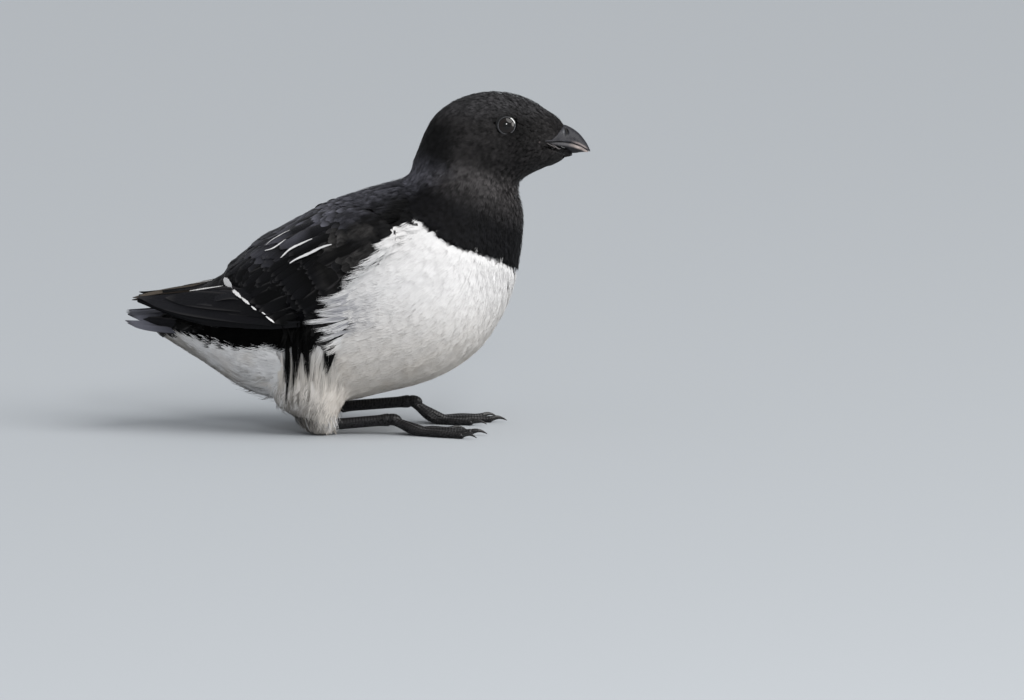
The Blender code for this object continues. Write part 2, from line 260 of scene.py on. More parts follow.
def coat_depth(points):
    """Thickness of the plumage, in millimetres, at points of the body."""
    x, z = points[:, 0], points[:, 2]
    head = ease(z + 0.35 * x, 104, 122)
    face = ease(x, 58, 70) * head
    heel = ease(-z, -12, -2)
    muzzle = ease(x, 66, 71) * head
    depth = 1.9 - 1.0 * head - 0.35 * face - 0.32 * muzzle - 0.4 * heel
    back = ease(z + 0.5 * x, 58, 74) * (1 - head)
    hump = np.exp(-(((x + 24) / 9) ** 2)) * ease(z, 66, 72)
    throat = np.exp(-(((z - 90) / 7) ** 2)) * ease(x, 46, 54)
    corner = ease(-z, -11, -3) * ease(-x, 12, 19)
    chin = ease(x, 50, 58) * ease(-x, -75, -71) * ease(-z, -102, -98) * ease(z, 88, 94)
    depth = depth - 0.4 * back + 0.9 * hump + 0.8 * throat + 3.2 * corner
    return np.maximum(depth - 0.5 * chin - 0.3 * muzzle, 0.02)


skin_points = skin_points - skin_normals * coat_depth(skin_points)[:, None]
skin_points[:, 2] = np.maximum(skin_points[:, 2], 0.4)
print("coat depth:", coat_depth(skin_points).min().round(2), "to", coat_depth(skin_points).max().round(2))

# %% Grounds for feathers to lie on


def make_ground(points, faces, normals):
    """A surface for feathers to lie on."""
    tree = BVHTree.FromPolygons(points.tolist(), [tuple(face) for face in faces])
    quads = np.array([tuple(face[:3]) + (face[-1],) for face in faces])
    return {"tree": tree, "quads": quads, "normals": normals, "points": points}


def settle(points, ground):
    """The nearest points of a ground and its smooth normals there."""
    found = [ground["tree"].find_nearest(point) for point in points.tolist()]
    places = np.array([hit[0] for hit in found])
    corners = ground["quads"][[hit[2] for hit in found]]
    return places, unit(ground["normals"][corners].mean(1))


def shrunken(name, depth):
    """Points, faces and normals of a solid drawn in by a depth."""
    points, normals, faces = mesh_arrays(NODES[name].data)
    return points - normals * depth, faces, normals


def stacked(parts):
    """Several surfaces as one."""
    points, faces, normals = [], [], []
    count = 0
    for part_points, part_faces, part_normals in parts:
        points.append(part_points)
        normals.append(part_normals)
        faces += [tuple(corner + count for corner in face) for face in part_faces]
        count += len(part_points)
    return np.concatenate(points), faces, np.concatenate(normals)


SKIN_GROUND = make_ground(skin_points, skin_faces, skin_normals)
print("skin ground:", len(skin_faces), "faces")

# %% [markdown]
# ## Where the coat is black and where it is white
# The markings are drawn once, as a few corner points on a side view of the bird, and every skin
# point and every feather asks the same function for its colour. The line wavers with a little
# ripple, as real feather edges do.

# %% Markings
# The crown's black is lighter than the cheek's as painted light falling on the top of the head.
CROWN_LIT_BLACK = (0.0430, 0.0418, 0.0440)
CHEEK_BLACK = (0.0215, 0.0200, 0.0203)
NAPE_BLACK = (0.0065, 0.0065, 0.0068)
NECK_BLACK = (0.0640, 0.0595, 0.0600)
# The mantle's lighter, bluish black is painted sky light on the bird's top.
MANTLE_SKYLIT_BLACK = (0.1200, 0.1200, 0.1450)
WING_BLACK = (0.0042, 0.0042, 0.0052)
# The vent's deepest black is painted shade low under the body.
VENT_SHADE_BLACK = (0.0022, 0.0022, 0.0022)
COVERT_BROWN = (0.0620, 0.0585, 0.0570)
PURE_WHITE = (0.80, 0.79, 0.785)
# A warm white that stands for painted warm light bounced up onto the lower belly.
WARM_BOUNCE_WHITE = (0.79, 0.74, 0.68)
# A brownish tint that is laid in random patches on the lower belly.
BROWNISH_TINT = (0.60, 0.53, 0.45)
# The grey of the down's bases on the flank, partly painted shade between the strands.
FLANK_GREY_AND_SHADE = (0.34, 0.34, 0.37)
# A brownish grey that is painted as shade along the underside of the vent.
VENT_UNDERSIDE_SHADE = (0.25, 0.225, 0.195)
# A grey that is painted as shade at the back and bottom of the heel's feathers.
HEEL_SHADE = (0.22, 0.203, 0.183)
EDGE_BLUR = 0.25  # millimetres over which black turns to white
# Corners of the white field: x and height as seen from the side, from the breast's front over the
# hood's lower edge, the shoulder, the wing's front edge and the rump's side to the tail.
WHITE_FIELD = np.array([
    (75, 56.5), (56.4, 57), (50.4, 60.1), (42, 63), (32.4, 66), (26.5, 70.7), (21.6, 74.7), (17.5, 73.6),
    (13, 71), (11, 69), (11.5, 66.5), (9.7, 63), (2.5, 57.6), (-4.5, 51.6), (-7.5, 48), (-11.5, 45.1),
    (-12.5, 43), (-9, 41.2), (-4, 40), (-3.2, 37.8), (-5, 35), (-5.8, 32), (-9, 29.4), (-12.5, 29.4),
    (-18, 31.5), (-24.9, 30.2), (-38.2, 28.6), (-45.7, 29.5), (-52.6, 32), (-69.1, 36), (-90, 38.5),
    (-90, -20), (75, -20),
])
print("white field:", len(WHITE_FIELD), "corners")

# %% Colours by place, with some light and shade painted in


def inside_field(spots, corners):
    """Signed distance to a field's edge: above zero inside, below zero outside."""
    nearest = np.full(len(spots), 1e9)
    within = np.zeros(len(spots), bool)
    for start, end in zip(corners, np.roll(corners, -1, axis=0)):
        along = end - start
        share = np.clip(((spots - start) @ along) / (along @ along), 0, 1)
        nearest = np.minimum(nearest, np.linalg.norm(spots - start - share[:, None] * along, axis=1))
        crosses = (start[1] > spots[:, 1]) != (end[1] > spots[:, 1])
        rise = along[1] if abs(along[1]) > 1e-9 else 1e-9
        reach = start[0] + along[0] * (spots[:, 1] - start[1]) / rise
        within ^= crosses & (spots[:, 0] < reach)
    return np.where(within, nearest, -nearest)


def whiteness(points):
    """Share of white in the coat, with a soft edge that wavers a little."""
    ragged = 0.55 * ripple(points, 2.2, 3) + 0.35 * ripple(points, 0.9, 4)
    return ease(inside_field(side_view(points), WHITE_FIELD) + ragged, -EDGE_BLUR, EDGE_BLUR)


def black_colour(points):
    """The black parts: velvety on the head and deep on the wing; painted light makes the crown and the
    mantle's top lighter and bluish, and painted shade makes the vent deepest.
    """
    x, y, z = points.T
    # Painted light: the top of the head is made lighter.
    lit_crown = ease(z, 110, 118)
    nape = ease(-x, -39, -31) * ease(z, 90, 97) * (1 - ease(z, 108, 114))
    neck = ease(z + 0.3 * x, 68, 82) * (1 - ease(z + 0.4 * x, 108, 116))
    head = mixed(mixed(CHEEK_BLACK, CROWN_LIT_BLACK, lit_crown), NECK_BLACK, neck)
    head = mixed(head, NAPE_BLACK, nape)
    shadow = mound(x, z, (57.5, 109.0), 34) * ease(np.abs(y), 6, 9)
    head = head * (1 - 0.75 * shadow)[:, None]
    # Painted light: the top of the back grades from the wing's black to the lighter, bluish mantle.
    top = ease(z - 85.5 - 0.45 * (x + 4.3) + 1.2 * ripple(points, 5, 61), -12, -4)
    back = mixed(WING_BLACK, MANTLE_SKYLIT_BLACK, top * (0.3 + 0.7 * ease(x, -36, -14)))
    brown = ease(x, -16, -6) * (1 - ease(x, 12, 20)) * (1 - ease(z, 74, 80))
    brown = brown * ease(ripple(points, 5, 6), -0.9, 0.9)
    back = mixed(back, COVERT_BROWN, brown * (1 - top))
    # Painted shade: the low black band under the wing and the vent are made darkest.
    back = mixed(back, VENT_SHADE_BLACK, ease(-z - 0.1 * x, -44, -38) * ease(-x, 8, 16))
    return mixed(back, head, ease(z * 0.9 + x * 0.45, 88, 104))


def coat_colour(points):
    """Linear colour of the plumage at each point."""
    x, z = points[:, 0], points[:, 2]
    # Painted light: the lower belly and vent turn warmer, as if lit from the floor below.
    white = mixed(PURE_WHITE, WARM_BOUNCE_WHITE, ease(-z, -60, -14) * ease(x, -26, -10))
    # Brownish patches at random, only low on the belly.
    brownish_patches = ease(ripple(points, 9, 5), 0.3, 1.3) * ease(-z, -46, -18) * 0.4
    white = mixed(white, BROWNISH_TINT, brownish_patches)
    height = seen_height(points)
    # Partly real grey down and partly painted shade between strands, in a patch below the wing's edge.
    flank = np.exp(-(((x + 1) / 8) ** 2 + ((height - 40 - 0.4 * x) / 5.5) ** 2))
    white = mixed(white, FLANK_GREY_AND_SHADE, np.clip(flank * (0.60 + 0.65 * ripple(points, 1.6, 62)), 0, 1))
    # Painted shade along the vent's lower outline, under the tail.
    rim = 1 - ease(height - 15 + (x + 42) * 0.74 + 1.2 * ripple(points, 3, 63), -0.5, 6.0)
    white = mixed(white, VENT_UNDERSIDE_SHADE, rim * ease(-x, 22, 32) * 0.95)
    # Painted shade low down at the back of the heel.
    heel = ease(-height, -17, -6) * ease(-x, 9.0, 15.5) * (0.85 + 0.35 * ripple(points, 1.2, 65))
    white = mixed(white, HEEL_SHADE, np.clip(heel, 0, 1))
    return mixed(black_colour(points), white, whiteness(points))


print("white share of the skin:", whiteness(skin_points).mean().round(2))

# %% [markdown]
# ## How the feathers lie
# Feathers point backwards from the bill, down the throat and breast, back along the belly and up
# under the tail. A few given arrows say this, and any other place blends the arrows near it
# and lays the result flat on the skin.

# %% The lie of the coat
LIE = [
    ((76, 0, 110), (-0.75, 0, 0.65)), ((74, 3, 104), (-0.9, 0.45, 0.1)), ((74, 0, 97), (-0.85, 0, -0.5)),
    ((66, 9, 108), (-0.9, 0.3, 0.1)), ((64, 9, 98), (-0.85, 0.3, -0.35)), ((50, 0, 123), (-1, 0, 0)),
    ((52, 12, 114), (-1, 0, 0.05)), ((38, 14, 112), (-0.9, 0, -0.45)), ((28, 0, 114), (-0.55, 0, -0.85)),
    ((54, 14, 100), (-0.8, 0, -0.6)), ((58, 0, 88), (-0.15, 0, -1)), ((42, 16, 92), (-0.45, 0, -0.9)),
    ((22, 4, 102), (-0.3, 0, -0.95)), ((60, 0, 76), (0, 0, -1)), ((50, 18, 74), (-0.3, 0.05, -0.95)),
    ((24, 18, 88), (-0.7, 0.2, -0.7)), ((58, 0, 58), (-0.08, 0, -1)), ((46, 22, 52), (-0.45, 0.05, -0.9)),
    ((54, 0, 42), (-0.35, 0, -0.95)), ((30, 32, 55), (-0.75, 0, -0.6)), ((42, 12, 27), (-0.85, 0, -0.5)),
    ((22, 28, 30), (-0.9, 0, -0.35)), ((10, 0, 14), (-1, 0, 0)), ((5, 33, 45), (-0.95, 0, -0.25)),
    ((0, 24, 20), (-0.95, 0, -0.25)), ((12, 6, 90), (-0.95, 0, -0.3)), ((-10, 12, 82), (-0.9, 0, -0.45)),
    ((-30, 8, 71), (-0.8, 0, -0.6)), ((-48, 4, 56), (-0.9, 0, -0.4)), ((-66, 3, 46), (-1, 0, -0.15)),
    ((-30, 20, 30), (-0.9, 0, 0.15)), ((-45, 8, 18), (-0.85, 0, 0.5)), ((-62, 6, 30), (-0.88, 0, 0.5)),
    ((-30, 0, 12), (-0.95, 0, 0.25)), ((-12, 20, 26), (-0.55, 0, -0.85)), ((-14, 16, 12), (-0.2, 0, -1)),
    ((-15, 15, 3), (0, 0, -1)), ((-22, 15, 10), (-0.5, 0, -0.85)), ((-20, 28, 40), (-0.9, 0, -0.3)),
]
WING_LIE = [
    ((16, 22, 84), (-0.9, 0.1, -0.35)), ((8, 33, 70), (-0.85, 0, -0.55)), ((-6, 35, 58), (-0.8, 0, -0.6)),
    ((-10, 30, 74), (-0.85, 0.1, -0.5)), ((-22, 30, 56), (-0.82, 0, -0.57)), ((-24, 18, 70), (-0.8, 0, -0.6)),
    ((-20, 4, 78), (-0.88, 0, -0.48)), ((-36, 20, 55), (-0.8, 0, -0.6)), ((-40, 8, 62), (-0.7, 0, -0.7)),
    ((-46, 14, 52), (-0.85, 0, -0.5)), ((6, 8, 88), (-0.93, 0, -0.3)), ((-30, 24, 44), (-0.95, 0, -0.2)),
]


def arrow_table(rows):
    """Places and unit directions of the arrows."""
    return np.array([place for place, _ in rows], float), unit(np.array([arrow for _, arrow in rows], float))


BODY_ARROWS = arrow_table(LIE)
WING_ARROWS = arrow_table(WING_LIE)


def lie_of(points, normals, arrows):
    """Unit directions in which the feathers point, flat on the skin."""
    folded = points.copy()
    folded[:, 1] = np.abs(folded[:, 1])
    apart = ((folded[:, None, :] - arrows[0][None]) ** 2).sum(2)
    weights = 1 / (apart + 9) ** 1.6
    flow = (weights[:, :, None] * arrows[1][None]).sum(1)
    flow[:, 1] *= np.sign(points[:, 1])
    flow = unit(flow)
    return unit(flow - normals * (flow * normals).sum(1, keepdims=True))


def walk(roots, lengths, steps, veer=0.0, seed=1, arrows=BODY_ARROWS, ground=SKIN_GROUND):
    """Paths over the skin from each root along the lie: points and normals, steps + 1 of each."""
    draw = np.random.default_rng(seed)
    turn = draw.normal(0, veer, len(roots))[:, None] if veer else 0.0
    places, normals = settle(roots, ground)
    path, facing = [places], [normals]
    for _ in range(steps):
        flow = lie_of(path[-1], facing[-1], arrows)
        flow = unit(flow + np.cross(facing[-1], flow) * turn)
        places, normals = settle(path[-1] + flow * (lengths / steps)[:, None], ground)
        path.append(places)
        facing.append(normals)
    return np.stack(path, 1), np.stack(facing, 1)


def scatter(spacing, keep, seed, ground=SKIN_GROUND):
    """Roots spread evenly over the part of a ground where keep(points) holds."""
    draw = np.random.default_rng(seed)
    a, b, c, d = (ground["points"][ground["quads"][:, k]] for k in range(4))
    area = np.linalg.norm(np.cross(c - a, d - b), axis=1) / 2
    count = int(area.sum() / spacing**2 * 5)
    chosen = draw.choice(len(area), count, p=area / area.sum())
    s, t = draw.random((2, count, 1))
    points = (a[chosen] * (1 - s) + b[chosen] * s) * (1 - t) + (d[chosen] * (1 - s) + c[chosen] * s) * t
    points = points[keep(points)]
    cells = np.floor(points / spacing).astype(np.int64)
    keys = (cells[:, 0] * 4096 + cells[:, 1]) * 4096 + cells[:, 2]
    _, first = np.unique(keys, return_index=True)
    return points[np.sort(first)]


print("arrows:", len(LIE))

# %% [markdown]
# ## Feather shapes
# A soft body feather is a fan of narrow strands that part at the tip. It is drawn flat once, with
# u along it, v across it and w its height, and then bent along each path. A few variants of each
# fan keep neighbours from looking alike.

# %% Feather patterns


def leaf_width(u):
    """Half width of a feather along its length: slim root, broad middle, rounded tip."""
    return 0.30 + 0.70 * np.sin(np.pi * np.clip(u, 0, 1) ** 0.85 * 0.86) ** 0.8


def strand_triangles(first, rows):
    """Triangles of a ribbon of paired points, from point number first to its single tip."""
    made = []
    for near in range(first, first + 2 * (rows - 1), 2):
        made += [(near, near + 1, near + 3), (near, near + 3, near + 2)]
    near = first + 2 * (rows - 1)
    return made + [(near, near + 1, near + 2)]


def strand_fan(strands, rows, fullness, ragged, seed, arch=0.25):
    """Points (u, v, w) and triangles of one soft feather."""
    draw = np.random.default_rng(seed)
    points, triangles = [], []
    for k in range(strands):
        place = (k + 0.5) / strands * 2 - 1
        stop = 1 - 0.22 * place**2 - ragged * draw.random()
        half = fullness / strands
        drift = draw.normal(0, 0.10)
        high = -arch * place**2 + draw.uniform(-0.04, 0.04)
        first = len(points)
        for row in range(rows):
            share = row / rows
            u = stop * share
            middle = place * leaf_width(u) + drift * share**2
            thin = half * (1 - 0.85 * share**1.7)
            points.append((u, middle - thin, high))
            points.append((u, middle + thin, high))
        points.append((stop, place * leaf_width(stop) + drift, high - 0.03))
        triangles += strand_triangles(first, rows)
    return np.array(points), np.array(triangles)

# %% Lay a pattern along every path


def lay_feathers(path, facing, half_width, height, patterns, seed, root_height=0.25, tilt=0.06, vary=0.2):
    """Bends a pattern along every path. Gives points, triangles, u, v and the feather of each point."""
    draw = np.random.default_rng(seed)
    kind = draw.integers(0, len(patterns), len(path))
    lean = draw.normal(0, tilt, len(path))
    lifted = height * draw.uniform(1 - vary, 1 + vary, len(path))
    made = {key: [] for key in ("points", "triangles", "uv", "owner", "facing")}
    total = 0
    steps = path.shape[1] - 1
    tangent = unit(np.diff(path, axis=1))
    tangent = np.concatenate([tangent, tangent[:, -1:]], 1)
    for number, (pattern, triangles) in enumerate(patterns):
        mine = np.flatnonzero(kind == number)
        if not len(mine):
            continue
        u, v, w = pattern.T
        spot = np.clip(u * steps, 0, steps - 1e-6)
        low = spot.astype(int)
        part = (spot - low)[None, :, None]
        centre = path[mine][:, low] * (1 - part) + path[mine][:, low + 1] * part
        out = unit(facing[mine][:, low] * (1 - part) + facing[mine][:, low + 1] * part)
        ahead = unit(tangent[mine][:, low] * (1 - part) + tangent[mine][:, low + 1] * part)
        across = np.cross(out, ahead)
        side = v[None, :] * half_width[mine][:, None]
        rise = root_height + (1 - root_height) * ease(u, 0.0, 0.7)
        up = rise[None, :] * lifted[mine][:, None] + w[None, :] * half_width[mine][:, None] * 0.5
        up = up + side * lean[mine][:, None]
        points = centre + across * side[..., None] + out * up[..., None]
        count = len(pattern)
        base = total + np.arange(len(mine))[:, None, None] * count
        made["points"].append(points.reshape(-1, 3))
        made["triangles"].append((triangles[None, :, ::-1] + base).reshape(-1, 3))
        made["uv"].append(np.tile(np.column_stack((u, v)), (len(mine), 1)))
        made["owner"].append(np.repeat(mine, count))
        made["facing"].append(out.reshape(-1, 3))
        total += len(mine) * count
    return {key: np.concatenate(parts) for key, parts in made.items()} | {"root": path[:, 0]}

# %% [markdown]
# ## From arrays to pieces
# Every coat piece carries its colour, a random tone for each feather and two flat maps: one along
# and across the feather, and one that unrolls the whole body round its own axis, where each
# feather keeps a tiny patch at its root's place.

# %% Unroll the body
# The body's own axis from tail to bill, as x and height.
AXIS = np.array([(-90, 42), (-50, 36), (-10, 46), (22, 60), (38, 84), (50, 106), (86, 102)], float)
PATCH = 0.003  # size of one feather on the unrolled map


def unroll(points):
    """u runs tail to bill along the body's axis, v goes round it with its seam under the belly."""
    flat = points[:, [0, 2]]
    runs = np.concatenate([[0], np.cumsum(np.linalg.norm(np.diff(AXIS, axis=0), axis=1))])
    best = np.full(len(points), 1e9)
    along = np.zeros(len(points))
    round_it = np.zeros(len(points))
    for k in range(len(AXIS) - 1):
        line = AXIS[k + 1] - AXIS[k]
        size = np.linalg.norm(line)
        share = np.clip(((flat - AXIS[k]) @ line) / size**2, 0, 1)
        offset = flat - AXIS[k] - share[:, None] * line
        gap = np.linalg.norm(offset, axis=1)
        nearer = gap < best
        best = np.where(nearer, gap, best)
        above = offset @ np.array((-line[1], line[0])) / size
        along = np.where(nearer, (runs[k] + share * size) / runs[-1], along)
        round_it = np.where(nearer, np.arctan2(points[:, 1], above) / (2 * np.pi) + 0.5, round_it)
    return np.column_stack((0.03 + 0.94 * along, 0.03 + 0.94 * round_it))

# %% Meshes and their layers


def triangle_mesh(name, points, triangles):
    """A smooth shaded mesh from points in millimetres."""
    mesh = bpy.data.meshes.new(name)
    mesh.vertices.add(len(points))
    mesh.vertices.foreach_set("co", (points * MM).astype(np.float32).ravel())
    mesh.loops.add(triangles.size)
    mesh.loops.foreach_set("vertex_index", triangles.astype(np.int32).ravel())
    mesh.polygons.add(len(triangles))
    mesh.polygons.foreach_set("loop_start", np.arange(0, triangles.size, 3, dtype=np.int32))
    mesh.polygons.foreach_set("use_smooth", np.ones(len(triangles), bool))
    mesh.update(calc_edges=True)
    return mesh


def soften(mesh, facing, softness):
    """Turns the shading normals part of the way to the skin's own, so that down looks soft."""
    own = np.empty(len(mesh.vertices) * 3)
    mesh.vertices.foreach_get("normal", own)
    own = own.reshape(-1, 3)
    own = own * np.where((own * facing).sum(1) < 0, -1, 1)[:, None]
    mesh.normals_split_custom_set_from_vertices(unit(own * (1 - softness) + facing * softness).tolist())


def add_map(mesh, name, corners):
    """A flat map with a spot for every corner."""
    layer = mesh.uv_layers.new(name=name)
    layer.data.foreach_set("uv", corners.astype(np.float32).ravel())


def add_colour(mesh, name, colours):
    """A colour stored on every point."""
    layer = mesh.color_attributes.new(name, "FLOAT_COLOR", "POINT")
    rgba = np.column_stack((colours, np.ones(len(colours))))
    layer.data.foreach_set("color", rgba.astype(np.float32).ravel())


def add_number(mesh, name, values):
    """A number stored on every point."""
    layer = mesh.attributes.new(name, "FLOAT", "POINT")
    layer.data.foreach_set("value", values.astype(np.float32))

# %% Finished pieces
TONE_SEED = 7


def joined(groups):
    """Several feather groups as one."""
    made = {key: [] for key in ("points", "triangles", "uv", "owner", "root", "facing")}
    points = owners = 0
    for group in groups:
        shift = {"triangles": points, "owner": owners}
        for key, parts in made.items():
            parts.append(group[key] + shift.get(key, 0))
        points += len(group["points"])
        owners += len(group["root"])
    return {key: np.concatenate(parts) for key, parts in made.items()}


def finished(name, mesh, material):
    """The piece that holds a mesh: it rides on the body and takes its material."""
    mesh.materials.append(material)
    piece = add_object(name, mesh)
    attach(piece, "root")
    return piece


def feather_piece(name, group, colours, material, patch=PATCH, softness=0.0):
    """One joined mesh of feathers, in one colour or with a colour for every point."""
    points, owner, uv = group["points"], group["owner"], group["uv"]
    points[:, 2] = np.maximum(points[:, 2], FLOOR_GAP)
    mesh = triangle_mesh(name, points, group["triangles"])
    if softness:
        soften(mesh, group["facing"], softness)
    corner = group["triangles"].ravel()
    spot = np.column_stack((uv[:, 1] / 2, uv[:, 0] - 0.5)) * 0.9
    add_map(mesh, "OFBake", (unroll(group["root"])[owner] + patch * spot)[corner])
    add_map(mesh, "Lie", uv[corner])
    add_colour(mesh, "coat", np.broadcast_to(colours, points.shape))
    add_number(mesh, "tone", np.random.default_rng(TONE_SEED).random(len(group["root"]))[owner])
    print(f"{name}: {len(group['root'])} feathers, {len(group['triangles'])} triangles")
    return finished(name, mesh, material)

# %% [markdown]
# ## Shared finishes
# Small node groups hold what several finishes need. One varies the tone from feather to feather
# and along each feather, one draws the fine slanting barbs of a vane, and one draws the little
# plates on the legs. Each material places them with its own values.

# %% Node helpers


def new_group(name, inputs, outputs):
    """An empty shader group with inputs (name, value) and outputs by name."""
    group = bpy.data.node_groups.new(name, "ShaderNodeTree")
    for label, value in inputs:
        kind = "NodeSocketColor" if isinstance(value, tuple) else "NodeSocketFloat"
        group.interface.new_socket(label, in_out="INPUT", socket_type=kind).default_value = value
    for label in outputs:
        kind = "NodeSocketColor" if label == "Colour" else "NodeSocketFloat"
        group.interface.new_socket(label, in_out="OUTPUT", socket_type=kind)
    return group, group.nodes.new("NodeGroupInput").outputs, group.nodes.new("NodeGroupOutput")


def wire(tree, made, **inputs):
    """Sets a node's inputs to values or joins them to sockets. _3 means input number 3."""
    for name, value in inputs.items():
        socket = made.inputs[int(name[1:])] if name[0] == "_" else made.inputs[name.replace("_", " ")]
        if isinstance(value, bpy.types.NodeSocket):
            tree.links.new(value, socket)
        else:
            socket.default_value = value
    return made


def node(tree, kind, settings=None, **inputs):
    """A new node with its settings and its inputs wired."""
    made = tree.nodes.new(f"ShaderNode{kind}")
    for name, value in (settings or {}).items():
        setattr(made, name, value)
    return wire(tree, made, **inputs)


def maths(tree, operation, first, *others):
    """One Math node for each further value, taken in turn."""
    for other in others or (0.0,):
        first = node(tree, "Math", {"operation": operation}, _0=first, _1=other).outputs[0]
    return first

# %% Short names for common nodes


def times(tree, *values):
    """Values multiplied, one Math node for each."""
    return maths(tree, "MULTIPLY", *values)


def plus(tree, *values):
    """Values added, one Math node for each."""
    return maths(tree, "ADD", *values)



def remap(tree, value, low=0.0, high=1.0, start=0.0, end=1.0):
    """A value moved from one span to another."""
    return node(tree, "MapRange", None, _0=value, _1=low, _2=high, _3=start, _4=end).outputs[0]


def blend(tree, share, first, second):
    """A colour between two others."""
    return node(tree, "Mix", {"data_type": "RGBA"}, _0=share, _6=first, _7=second).outputs[2]


def grain(tree, scale, detail):
    """Soft noise that stays with the object."""
    place = node(tree, "TexCoord").outputs["Object"]
    return node(tree, "TexNoise", None, Vector=place, Scale=scale, Detail=detail).outputs[0]


def lie_parts(tree):
    """How far along and across its feather or form a spot lies."""
    lie_map = node(tree, "UVMap", {"uv_map": "Lie"}).outputs[0]
    parts = node(tree, "SeparateXYZ", None, _0=lie_map).outputs
    return parts[0], parts[1]


def stored(tree, name, part="Color"):
    """A value stored on the mesh."""
    return node(tree, "Attribute", {"attribute_name": name}).outputs[part]


def coat_tone(tree, shade):
    """The mesh's own colour, made lighter or darker."""
    return node(tree, "VectorMath", {"operation": "SCALE"}, _0=stored(tree, "coat"), Scale=shade).outputs[0]


def new_material(name):
    """A material with its tree and its shader."""
    material = bpy.data.materials.new(name)
    material.use_nodes = True
    return material, material.node_tree, material.node_tree.nodes["Principled BSDF"]

# %% Feather tone: every feather a little different, paler towards its edge and darker towards its root as painted shade
TONE, asked, tone_out = new_group(
    "feather tone",
    [
        ("Spread", 0.2), ("Root", 0.7), ("Fade From", 0.0), ("Fade To", 0.7), ("Edge", 0.0),
        ("Edge Colour", (0.05, 0.045, 0.04, 1)), ("Mottle", 0.1), ("Streak", 0.1), ("Streak Count", 9.0),
    ],
    ["Colour", "Streak Height"],
)
along, across = lie_parts(TONE)
tone = stored(TONE, "tone", "Fac")
streak_place = node(
    TONE, "CombineXYZ", None, _0=times(TONE, along, 1.6),
    _1=times(TONE, across, asked["Streak Count"]), _2=times(TONE, tone, 91.0),
).outputs[0]
streak = node(TONE, "TexNoise", None, Vector=streak_place, Scale=1.0, Detail=2.0).outputs[0]
changes = [
    times(TONE, maths(TONE, "SUBTRACT", source, 0.5), asked[amount])
    for source, amount in ((tone, "Spread"), (grain(TONE, 900.0, 3.0), "Mottle"), (streak, "Streak"))
]
# Painted shade: the colour darkens towards the feather's root, where the next feather covers it.
fade = remap(TONE, along, asked["Fade From"], asked["Fade To"], asked["Root"])
shaded = coat_tone(TONE, times(TONE, plus(TONE, *changes, 1.0), fade))
rim = maths(TONE, "MAXIMUM", maths(TONE, "ABSOLUTE", across), maths(TONE, "POWER", along, 3.0))
rim_share = times(TONE, remap(TONE, rim, 0.72, 0.98), asked["Edge"])
wire(TONE, tone_out, Colour=blend(TONE, rim_share, shaded, asked["Edge Colour"]), Streak_Height=streak)
print("group:", TONE.name, len(TONE.nodes), "nodes")

# %% Barbs: fine ridges that slant from the shaft to the feather's edge
FULL_WAVE = 6.283
BARBS, asked, barbs_out = new_group(
    "barbs", [("Count", 26.0), ("Slant", 0.5), ("Shaft", 0.0)], ["Height", "Gloss Change"]
)
along, across = lie_parts(BARBS)
from_shaft = maths(BARBS, "ABSOLUTE", across)
wobble = grain(BARBS, 700.0, 2.0)
run = maths(BARBS, "SUBTRACT", along, times(BARBS, from_shaft, asked["Slant"]))
run = plus(BARBS, run, times(BARBS, wobble, 0.06))
wave = maths(BARBS, "SINE", times(BARBS, run, asked["Count"], FULL_WAVE))
ridge = times(BARBS, plus(BARBS, wave, 1.0), 0.5)
shaft = remap(BARBS, from_shaft, 0.0, 0.09, 1.0, 0.0)
height = plus(BARBS, ridge, times(BARBS, shaft, asked["Shaft"]))
wire(BARBS, barbs_out, Height=height, Gloss_Change=times(BARBS, wobble, ridge))
print("group:", BARBS.name, len(BARBS.nodes), "nodes")

# %% Feather materials


def feather_material(name, spread, root, mottle, rough, sheen, edge=0.0, edge_colour=(0.05, 0.045, 0.04),
                     fade=(0.0, 0.7), barb_count=26.0, barb_depth=0.3, shaft=0.0, specular=0.5,
                     streak=0.0, streak_depth=0.0):
    """Plumage: tone from the feather groups with painted shade towards each root, barbs or streaks as bump,
    and a soft sheen.
    """
    material, tree, shader = new_material(name)
    tones = node(
        tree, "Group", {"node_tree": TONE}, Spread=spread, Root=root, Mottle=mottle, Edge=edge, Streak=streak,
        Edge_Colour=(*edge_colour, 1), Fade_From=fade[0], Fade_To=fade[1],
    ).outputs
    ridges = node(tree, "Group", {"node_tree": BARBS}, Count=barb_count, Shaft=shaft).outputs
    fluted = times(tree, tones["Streak Height"], streak_depth)
    relief = plus(tree, times(tree, ridges["Height"], barb_depth), fluted)
    wire(
        tree, shader, Base_Color=tones["Colour"],
        Normal=node(tree, "Bump", None, Strength=1.0, Distance=0.0001, Height=relief).outputs[0],
        Roughness=remap(tree, ridges["Gloss Change"], start=rough + 0.06, end=rough - 0.10),
        Specular_IOR_Level=specular, Sheen_Weight=sheen, Sheen_Roughness=0.45,
    )
    return material


HOOD_MATERIAL = feather_material("velvet hood", 1.2, 0.50, 1.3, 0.62, 0.01, specular=0.10, barb_depth=0.1)
DEEP_MATERIAL = feather_material("deep black down", 1.0, 0.50, 0.8, 0.85, 0.0, specular=0.02, barb_depth=0.1)
WHITE_MATERIAL = feather_material(
    "white down", 0.07, 0.90, 0.05, 0.85, 0.0, specular=0.1, barb_depth=0.0, streak=0.28, streak_depth=0.5
)
BACK_MATERIAL = feather_material(
    "black vanes", 1.2, 0.06, 0.6, 0.46, 0.0, edge=0.6, edge_colour=(0.046, 0.044, 0.045), fade=(0.45, 0.98),
    barb_depth=0.3, specular=0.10, streak=1.0, streak_depth=0.6,
)
MANTLE_MATERIAL = feather_material(
    "black mantle", 1.1, 0.18, 1.0, 0.50, 0.0, fade=(0.25, 0.95), barb_depth=0.2, specular=0.14,
    streak=1.5, streak_depth=0.6,
)
